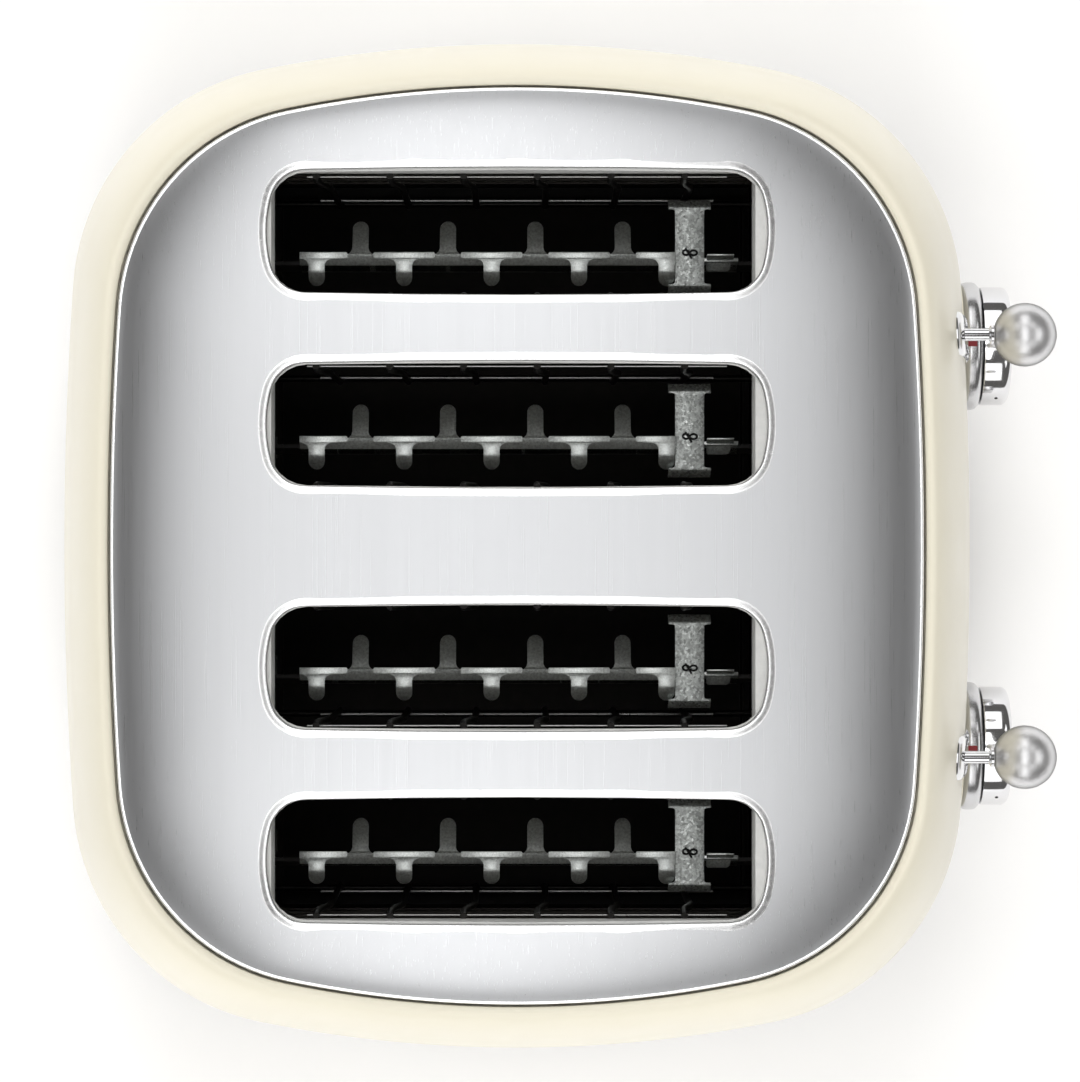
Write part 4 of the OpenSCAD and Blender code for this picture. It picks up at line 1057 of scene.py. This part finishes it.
class TOASTER_OT_spreaders(bpy.types.Operator):
    """Stamp the spangled cross plates on the racks, with bent ears and a twist of wire through the middle"""
    bl_idname = "toaster.spreaders"
    bl_label = "Rack spreaders"

    def execute(self, context):
        for side in SIDES:
            plates, ties = [], []
            for place in PLACES:
                x = slot_x(side, place)
                plates.append(self.plate(x))
                ties += self.tie(x - 0.0020)
            piece = joined(f"cross_plates_{side}", plates)
            bevelled(piece, 0.0002)
            fitted(piece, f"lever_{side}", "galvanised", "spangled zinc", f"spreaders_{side}", angle=40.0)
            fitted(joined(f"cross_plate_ties_{side}", ties), f"lever_{side}", "steel_wire", "shadow")
        return {"FINISHED"}

    def plate(self, x):
        """A flat neck that widens to an ear at each end, each ear bent down over its edge of the rack."""
        low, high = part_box("spreaders_right")
        self.y, self.top = (low.y + high.y) / 2, high.z
        neck, ear, reach, sheet = 0.0092, high.y - low.y, 0.0146, 0.0012
        flat = [(0.0, neck), (0.0040, neck), (0.0090, neck), (0.0112, neck + 0.0001), (0.0116, neck + 0.0006),
                (0.0118, neck + 0.0018), (0.0119, ear - 0.0016), (0.0121, ear - 0.0004), (0.0124, ear)]
        bent = [(0.0128, 0.0003), (0.0132, 0.0009), (reach, 0.0030), (reach + 0.0002, 0.0040),
                (reach + 0.0002, self.top - low.z - 0.0004)]
        rings = []
        for way in (-1, 1):
            found = [strip_ring(x + way * out, self.y - width / 2, self.y + width / 2, self.top,
                                Vector((0, 0, sheet))) for out, width in flat]
            found += [strip_ring(x + way * out, self.y - ear / 2, self.y + ear / 2, self.top - drop,
                                 Vector((way * sheet * 0.9, 0, sheet * 0.5))) for out, drop in bent]
            rings = found[::-1] + rings if way < 0 else rings + found[1:]
        return loft("cross_plate", rings, "capped")

    def tie(self, x):
        """A short twist of dark wire: two small loops and their crossing ends."""
        y, z, r = self.y, self.top + 0.0005, 0.00034
        first = [(x + 0.0008 * math.sin(t * 0.5), y - 0.0012 + 0.0011 * math.cos(t * 0.5), z + 0.0001 * t / 12)
                 for t in range(13)]
        second = [(x + 0.0001 + 0.0008 * math.sin(t * 0.5 + 2), y + 0.0012 + 0.0010 * math.cos(t * 0.5 + 2),
                   z + 0.0002) for t in range(13)]
        cross = [(x - 0.0018, y - 0.0006, z), (x - 0.0006, y + 0.0001, z + 0.0003), (x + 0.0014, y + 0.0014, z)]
        return [tube("tie_loop", first, r, 6), tube("tie_loop", second, r, 6), tube("tie_end", cross, r, 6)]


class TOASTER_OT_guards(bpy.types.Operator):
    """Bend the eight slice guards: six joggled uprights on a hinge wire, with two bright rails behind them"""
    bl_idname = "toaster.guards"
    bl_label = "Slice guards"

    def execute(self, context):
        places = [(side, k) for side in SIDES for k in (1, 2, 3, 4)]
        first_x = slot_x("left", "outer")
        first = self.wires("guard_left_1", first_x)
        first_rails = self.rails("guard_left_1", first_x)
        made = [(first, first_rails)]
        for side, k in places[1:]:
            shift = slot_x(side, "outer" if k < 3 else "inner") - first_x
            mirror = None if k % 2 else first_x
            made.append((placed_copy(first, f"wires_guard_{side}_{k}", (shift, 0, 0), mirror_x=mirror),
                         placed_copy(first_rails, f"rails_guard_{side}_{k}", (shift, 0, 0), mirror_x=mirror)))
        for (wires, rails), (side, k) in zip(made, places):
            node = f"guard_{side}_{k}"
            # the uprights and hinge wire carry painted shade, near black, while the rails keep a plain steel colour
            fitted(wires, node, "steel_wire", "guard wire", node, angle=60.0)
            fitted(rails, node, "steel_wire", "bright wire", angle=60.0)
        return {"FINISHED"}

    def wires(self, node, x):
        """The uprights and the hinge wire of the guard on the low X side of a slot."""
        r = sizes("rack").wire / 2
        low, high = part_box(node)
        upright, hinge = x - 0.0177, x - 0.0192
        first, pitch, aside = CENTRE_Y + 0.0583, 0.0225, 0.0030
        straight_low, straight_high = low.z + 0.012, high.z - 0.038
        joggle = [(0.032, 0.0003), (0.027, 0.0011), (0.022, 0.0019), (0.016, 0.0027), (0.009, aside)]
        parts = []
        for i in range(6):
            y = first - i * pitch
            path = [(hinge + 0.0004, y, low.z + r), (hinge + 0.0006, y, low.z + 0.0035),
                    (upright - 0.0004, y, low.z + 0.0075)]
            path += [(upright, y, straight_low + (straight_high - straight_low) * k / 4) for k in range(5)]
            path += [(upright, y + beside, high.z - under) for under, beside in joggle]
            path += [(upright - back, y + aside, high.z - under)
                     for back, under in ((0.0001, 0.006), (0.0004, 0.0025), (0.0007, 0.0002))]
            parts.append(tube("upright", path, r, 10))
        parts.append(tube("hinge", [(hinge, low.y + (high.y - low.y) * k / 10, low.z + r) for k in range(11)],
                          r, 10))
        return joined("wires_" + node, parts)

    def rails(self, node, x):
        """Two bright rails behind the uprights, one near the top and one half way down."""
        reach = 0.0643
        parts = [tube("rail", [(x - 0.0186, CENTRE_Y - reach + 2 * reach * k / 8, z) for k in range(9)], r, 12)
                 for z, r in ((0.084, 0.0005), (0.176, 0.0003))]
        return joined("rails_" + node, parts)


# ---------------------------------------------------------------- levers and dials

class TOASTER_OT_levers(bpy.types.Operator):
    """Turn the two lever stems and their satin balls, and press the crescent bezels round their slots"""
    bl_idname = "toaster.levers"
    bl_label = "Levers"

    def execute(self, context):
        for side in SIDES:
            x, z = middle_of(f"lever_stem_{side}")
            fitted(self.stem(side, x, z), f"lever_{side}", "chrome", "chrome plating", f"lever_stem_{side}")
            fitted(self.ball(side, x, z), f"lever_{side}", "satin_chrome", "satin chrome",
                   f"lever_ball_{side}", angle=60.0)
            fitted(self.bezel(side, x, z), "housing", "chrome", "chrome plating",
                   f"lever_bezel_{side}", angle=45.0)
        return {"FINISHED"}

    def stem(self, side, x, z):
        """A rod with a small collar behind the ball."""
        low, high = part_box(f"lever_stem_{side}")
        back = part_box(f"lever_ball_{side}")[1].y
        r, collar = sizes("lever").stem / 2, sizes("lever").collar / 2
        edge = 0.0003
        profile = [(r - edge, high.y), (r, high.y - edge), (r, back + 0.030), (r, back + 0.0019),
                   (r + edge, back + 0.0016), (collar - edge, back + 0.0015), (collar, back + 0.0012),
                   (collar, back + 0.0004), (collar - edge, back + 0.0001), (r, back - 0.0001),
                   (r, low.y + edge), (r - edge, low.y)]
        return turned(f"lever_rod_{side}", profile, x, z, 40)

    def ball(self, side, x, z):
        """A ball with a small flat where the stem enters it."""
        low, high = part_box(f"lever_ball_{side}")
        radius = sizes("lever").ball / 2
        middle, depth = low.y + radius, 0.004
        bore, flat_radius = sizes("lever").stem / 2 + 0.00002, 0.0030
        flat = math.asin(flat_radius / radius)
        profile = [(0.0, middle + depth), (bore, middle + depth), (bore, high.y), (0.0028, high.y),
                   (flat_radius, high.y - 0.00004)]
        steps = 40
        turns = [flat + (math.pi - flat) * i / steps for i in range(1, steps)]
        profile += [(radius * math.sin(a), middle + radius * math.cos(a)) for a in turns]
        return turned(f"lever_knob_{side}", profile + [(0.0, middle - radius)], x, z, 64, "open")

    def bezel(self, side, x, z):
        """A crescent shell from its outer edge on the skin up to the slot that the stem runs in."""
        lever = sizes("lever")
        low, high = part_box(f"lever_bezel_{side}")
        wide, narrow = lever.bezel_width / 2, lever.slot_width / 2

        def stadium(radius, bottom, top):
            cap = [(x + radius * cosine(a), top + radius * sine(a)) for a in range(0, 181, 10)]
            foot = [(x + radius * cosine(a), bottom + radius * sine(a)) for a in range(180, 361, 10)]
            down = [(x - radius, top + (bottom - top) * k / 12) for k in range(1, 12)]
            up = [(x + radius, bottom + (top - bottom) * k / 12) for k in range(1, 12)]
            return cap + down + foot + up
        outer = stadium(wide, low.z + wide, high.z - wide)
        inner = stadium(narrow, z - lever_travel(), z)

        def ring(share, height):
            """A ring part of the way from the outer edge to the slot, standing off the skin."""
            pairs = [(ax + (bx - ax) * share, az + (bz - az) * share)
                     for (ax, az), (bx, bz) in zip(outer, inner)]
            return [Vector((px, CENTRE_Y - front_at(px, pz) - height, pz)) for px, pz in pairs]
        profile = ((0.0, -0.0006), (0.0, 0.0003), (0.03, 0.0006), (0.10, 0.0010), (0.22, 0.0013),
                   (0.40, 0.00147), (0.62, 0.0015), (0.86, 0.0015), (0.96, 0.00140), (1.0, 0.0011),
                   (1.0, -0.0030), (0.94, -0.0030), (0.94, -0.0006))
        return loft(f"lever_escutcheon_{side}", [ring(*pair) for pair in profile], "loop")


class TOASTER_OT_dials(bpy.types.Operator):
    """Turn the chrome base rings with their red index marks, and the knobs with a small pointer dot"""
    bl_idname = "toaster.dials"
    bl_label = "Browning dials"

    def execute(self, context):
        low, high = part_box("dial_rings")
        front, back = low.y, high.y
        radius = sizes("dial").ring / 2
        bore, chamfer, swell, steps = 0.0047, 0.0014, 0.0009, 10
        barrel = [(radius - swell * (2 * k / steps - 1) ** 4,
                   back - 0.0005 - (back - front - 0.0010) * k / steps) for k in range(steps + 1)]
        profile = [(bore, back), (radius - chamfer, back), *barrel, (radius - chamfer, front + 0.0001),
                   (radius - 0.0020, front), (bore, front)]
        rings, marks = [], []
        for side in SIDES:
            x, z = middle_of(f"dial_knob_{side}")
            rings.append(turned("ring", profile, x, z, 96, "loop"))
            marks.append(self.mark(x, z, radius, front + 0.0022, back - 0.0012))
            self.knob(side, x, z, front)
        fitted(joined("dial_base_rings", rings), "housing", "chrome", "satin ring", "dial_rings", angle=32.0)
        fitted(joined("dial_index_marks", marks), "housing", "chrome", "index mark", angle=40.0)
        return {"FINISHED"}

    def mark(self, x, z, radius, y0, y1):
        """The painted index mark at the top of a base ring."""
        half, steps = 0.0010, 6
        turns = [math.pi / 2 + (k / steps * 2 - 1) * half / radius for k in range(steps + 1)]
        return wrapped("mark", x, z, radius + 0.00006, radius - 0.0004, [(turn, y0, y1) for turn in turns])

    def knob(self, side, x, z, ring_front):
        low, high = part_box(f"dial_knob_{side}")
        radius, curve = sizes("dial").knob / 2, sizes("dial").rim_round
        front, back = low.y, ring_front - 0.0003
        shaft = 0.003
        profile = [(0.0, high.y), (shaft - 0.0004, high.y), (shaft, high.y - 0.0004), (shaft, back),
                   (radius - 0.0006, back), (radius - 0.0001, back - 0.0003), (radius, back - 0.0009),
                   (radius, front + curve + 0.001), (radius, front + curve)]
        profile += [(radius - curve * (1 - cosine(a)), front + curve * (1 - sine(a)))
                    for a in (12, 24, 36, 48, 60, 72, 84, 90)]
        profile += [(radius - curve - 0.0012, front + 0.00002), (radius * 0.62, front + 0.0004),
                    (radius * 0.30, front + 0.0006), (0.0, front + 0.0006)]
        knob = turned(f"browning_knob_{side}", profile, x, z, 96, "open")
        fitted(knob, f"dial_{side}", "chrome", "chrome plating", f"dial_knob_{side}", angle=40.0)
        past_mark = {"right": 63, "left": 57}[side]
        dot = self.dot(x, z, radius, math.radians(90 + past_mark), (back + front) / 2 - 0.0002)
        dot.name = f"pointer_dot_{side}"
        fitted(dot, f"dial_{side}", "black_plastic", "shadow", angle=40.0)

    def dot(self, x, z, radius, turn, y):
        """A small round dot that wraps the rim of the knob."""
        size, steps = 0.00055, 8
        spans = []
        for k in range(steps + 1):
            share = math.cos(math.pi * k / steps)
            wide = size * math.sqrt(max(0.0, 1 - share * share)) + 0.00002
            spans.append((turn + share * size / radius, y - wide, y + wide))
        return wrapped("dot", x, z, radius + 0.00008, radius - 0.0003, spans)


class TOASTER_OT_buttons(bpy.types.Operator):
    """Mould the button panel and turn its six chromed buttons"""
    bl_idname = "toaster.buttons"
    bl_label = "Button panel"

    depth = 0.0059      # from the front of the body to the back of the panel

    def execute(self, context):
        low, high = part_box("button_panel")
        face, back = low.y, FACE_Y + self.depth
        radius = 0.009
        outlines = []
        for inset, y in ((0.0, back), (0.0, face + 0.0009), (0.0002, face + 0.0004), (0.0005, face + 0.0001),
                         (0.0010, face)):
            pairs = rounded_pairs(low.x + inset, high.x - inset, low.z + inset, high.z - inset, radius - inset, 10)
            outlines.append([Vector((px, y, pz)) for px, pz in pairs])
        panel = loft("button_plate", outlines, "capped")
        names = [f"button_{side}_{name}" for side in SIDES for name in BUTTONS]
        bore, clear, post, post_in = 0.00415, 0.002, 0.0035, 0.0035
        for name in names:
            cut_out(panel, turned("bore", [(bore, face - clear), (bore, back + clear)], *middle_of(name), 40))
        posts = [turned("post", [(post, back - 0.001), (post, high.y)], 0.0, z, 32)
                 for z in (low.z + post_in, high.z - post_in)]
        piece = joined("button_plate", [panel] + posts)
        bevelled(piece, 0.0003)
        fitted(piece, "housing", "cream_plastic", "cream moulding", "button_panel", angle=35.0)
        for name in names:
            fitted(self.button(name), name, "chrome", "chrome plating", name, angle=40.0)
        return {"FINISHED"}

    def button(self, node):
        """A cap with a collar that stops it behind the panel, and a stem to its switch."""
        low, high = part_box(node)
        front, collar = low.y, FACE_Y + self.depth + 0.00015
        step = collar - 0.0014
        profile = [(0.0, front), (0.0014, front), (0.0026, front + 0.00008), (0.0034, front + 0.0003),
                   (0.0038, front + 0.0006), (0.004, front + 0.0011), (0.004, step - 0.0001), (0.004, step),
                   (0.0048, step), (0.0048, collar), (0.0016, collar), (0.0016, high.y), (0.0, high.y)]
        return turned("push_" + node, profile, *middle_of(node), 48, "open")


# ---------------------------------------------------------------- what the frame already shapes

PACKED_FINISHES = {
    "plate_seal": "black rubber",
    "base_pan": "sheet in painted shade",
    "feet": "black rubber",
    "base_screws": "zinc screw",
    "heating_ribbons": "resistance ribbon",
    "control_board": "circuit board",
    "browning_controls": "black moulding",
    "holding_magnets": "black moulding",
    "guide_rods": "zinc screw",
    "cord_gland": "black rubber",
}
PAIRED_FINISHES = {
    "slot_collars": "liner sheet",
    # the chambers and front frames carry painted shade, a dark colour for the shade inside the slots
    "chamber": "chamber sheet in painted shade",
    "front_frame": "chamber sheet in painted shade",
    "heater_cards": "mica card",
    "lever_spring": "zinc screw",
    "carriage": "sheet in painted shade",
    "crumb_tray": "tray sheet",
}


class TOASTER_OT_inner_parts(bpy.types.Operator):
    """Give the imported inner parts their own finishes"""
    bl_idname = "toaster.inner_parts"
    bl_label = "Inner parts"

    def execute(self, context):
        finishes = dict(PACKED_FINISHES)
        for side in SIDES:
            finishes.update({f"{node}_{side}": name for node, name in PAIRED_FINISHES.items()})
        for node, name in finishes.items():
            coated(frame["nodes"][node], name)
        return {"FINISHED"}


# ---------------------------------------------------------------- stage

class TOASTER_OT_stage(bpy.types.Operator):
    """Set the plain floor, the soft lamps and the camera straight above the toaster"""
    bl_idname = "toaster.stage"
    bl_label = "Floor, lamps and camera"

    def execute(self, context):
        self.floor()
        self.world()
        self.lamps()
        self.camera(context.scene)
        context.scene.view_settings.view_transform = "Standard"
        return {"FINISHED"}

    def camera(self, scene):
        """A camera that looks straight down, with the levers on its right."""
        data = bpy.data.cameras.new("camera")
        camera = bpy.data.objects.new("camera", data)
        scene.collection.objects.link(camera)
        camera.location = (0.0, CENTRE_Y, sizes("studio").camera_height)
        camera.rotation_euler = (0.0, 0.0, math.radians(-90))
        data.lens = sizes("studio").lens
        data.sensor_width = 36.0
        data.shift_x, data.shift_y = 0.0213, 0.0046
        scene.camera = camera

    def lamps(self):
        """Lamps overhead for the plate to mirror, and soft banks on all sides that metal doesn't mirror."""
        self.lamp("overhead", (0.0, CENTRE_Y + 0.07, 2.3), (0.70, 0.88), 0.94)
        for way in (-1, 1):
            self.lamp("overhead_end", (way * 0.60, CENTRE_Y + 0.07, 2.27), (0.46, 0.88), 2.7)
            self.lamp("overhead_wing", (way * 1.9, CENTRE_Y, 1.5), (0.88, 1.6), 1.6)
            self.lamp("end_glow", (0.0, CENTRE_Y + way * 1.5, 1.5), (1.4, 0.7), 1.2 - way * 0.3)
            self.lamp("bank", (way * 2.0, CENTRE_Y, 1.1), (1.8, 1.4), 3.1, mirrored=False)
            for end in (-1, 1):
                self.lamp("corner_glow", (way * 1.15, CENTRE_Y + end * 0.95, 1.75), (0.6, 0.6), 1.3)
        self.lamp("back_fill", (0.0, CENTRE_Y + 2.1, 0.8), (1.6, 1.0), 2.4, mirrored=False)
        self.lamp("front_fill", (0.0, CENTRE_Y - 2.1, 0.8), (1.6, 1.0), 0.55, mirrored=False)

    def floor(self):
        deselect()
        bpy.ops.mesh.primitive_grid_add(x_subdivisions=24, y_subdivisions=24, size=8.0,
                                        location=(0.0, 0.0, 0.0))
        floor = bpy.context.object
        floor.name = "studio_floor"
        made = Finish("studio floor", sizes("studio").floor, roughness=0.9, Emission_Color=(1.0, 1.0, 1.0, 1.0))
        made.tints(made.noise(300.0), 0.998, 1.002)
        self.lift(made)
        floor.data.materials.append(made.material)

    def lift(self, made):
        """Lift the floor to white where it is looked at or mirrored, and keep the shadow on it."""
        rays = made.node("LightPath")
        seen = rays.outputs["Is Camera Ray"]
        for other in ("Is Glossy Ray", "Is Transmission Ray"):
            larger = made.node("Math")
            larger.operation = "MAXIMUM"
            made.links.new(seen, larger.inputs[0])
            made.links.new(rays.outputs[other], larger.inputs[1])
            seen = larger.outputs["Value"]
        made.links.new(made.spread(seen, 0.0, 0.10, 0.0, 1.0), made.shader.inputs["Emission Strength"])

    def world(self):
        world = bpy.data.worlds.new("studio")
        bpy.context.scene.world = world
        world.use_nodes = True
        background = world.node_tree.nodes["Background"]
        background.inputs["Color"].default_value = (1.0, 0.97, 0.94, 1.0)
        background.inputs["Strength"].default_value = 0.12

    def lamp(self, name, place, size, glow, mirrored=True):
        """A soft rectangle of light, aimed at the toaster. Its glow is how bright its own face is."""
        data = bpy.data.lights.new(name, "AREA")
        data.shape = "RECTANGLE"
        data.size, data.size_y = size
        data.energy = glow * math.pi * size[0] * size[1]
        lamp = bpy.data.objects.new(name, data)
        bpy.context.scene.collection.objects.link(lamp)
        lamp.location = place
        aim = Vector((0.0, CENTRE_Y, 0.15)) - Vector(place)
        lamp.rotation_euler = aim.to_track_quat("-Z", "Y").to_euler()
        lamp.visible_glossy = mirrored


# ---------------------------------------------------------------- add-on

class TOASTER_PT_pieces(bpy.types.Panel):
    """Lists the pieces of the toaster and the sizes and colours they are made from"""
    bl_idname = "TOASTER_PT_pieces"
    bl_label = "Four slot toaster"
    bl_space_type = "VIEW_3D"
    bl_region_type = "UI"
    bl_category = "Toaster"

    def draw(self, context):
        for name, group in GROUPS.items():
            box = self.layout.box()
            box.label(text=group.__name__)
            for key in group.__annotations__:
                box.prop(getattr(context.scene, "toaster_" + name), key)
        for operator in OPERATORS:
            self.layout.operator(operator.bl_idname)


GROUPS = {
    "body": BodySizes,
    "plate": PlateSizes,
    "rack": RackSizes,
    "lever": LeverSizes,
    "dial": DialSizes,
    "finishes": Finishes,
    "studio": Studio,
}
OPERATORS = (
    TOASTER_OT_body,
    TOASTER_OT_plate,
    TOASTER_OT_plinth,
    TOASTER_OT_racks,
    TOASTER_OT_spreaders,
    TOASTER_OT_guards,
    TOASTER_OT_levers,
    TOASTER_OT_dials,
    TOASTER_OT_buttons,
    TOASTER_OT_inner_parts,
    TOASTER_OT_stage,
)


def register():
    for name, group in GROUPS.items():
        bpy.utils.register_class(group)
        setattr(bpy.types.Scene, "toaster_" + name, bpy.props.PointerProperty(type=group))
    for operator in OPERATORS:
        bpy.utils.register_class(operator)
    bpy.utils.register_class(TOASTER_PT_pieces)


def unregister():
    bpy.utils.unregister_class(TOASTER_PT_pieces)
    for operator in reversed(OPERATORS):
        bpy.utils.unregister_class(operator)
    for name, group in GROUPS.items():
        delattr(bpy.types.Scene, "toaster_" + name)
        bpy.utils.unregister_class(group)


def main():
    register()
    bpy.ops.toaster.body()
    bpy.ops.toaster.plate()
    bpy.ops.toaster.plinth()
    bpy.ops.toaster.racks()
    bpy.ops.toaster.spreaders()
    bpy.ops.toaster.guards()
    bpy.ops.toaster.levers()
    bpy.ops.toaster.dials()
    bpy.ops.toaster.buttons()
    bpy.ops.toaster.inner_parts()
    bpy.ops.toaster.stage()


if __name__ == "__main__":
    main()
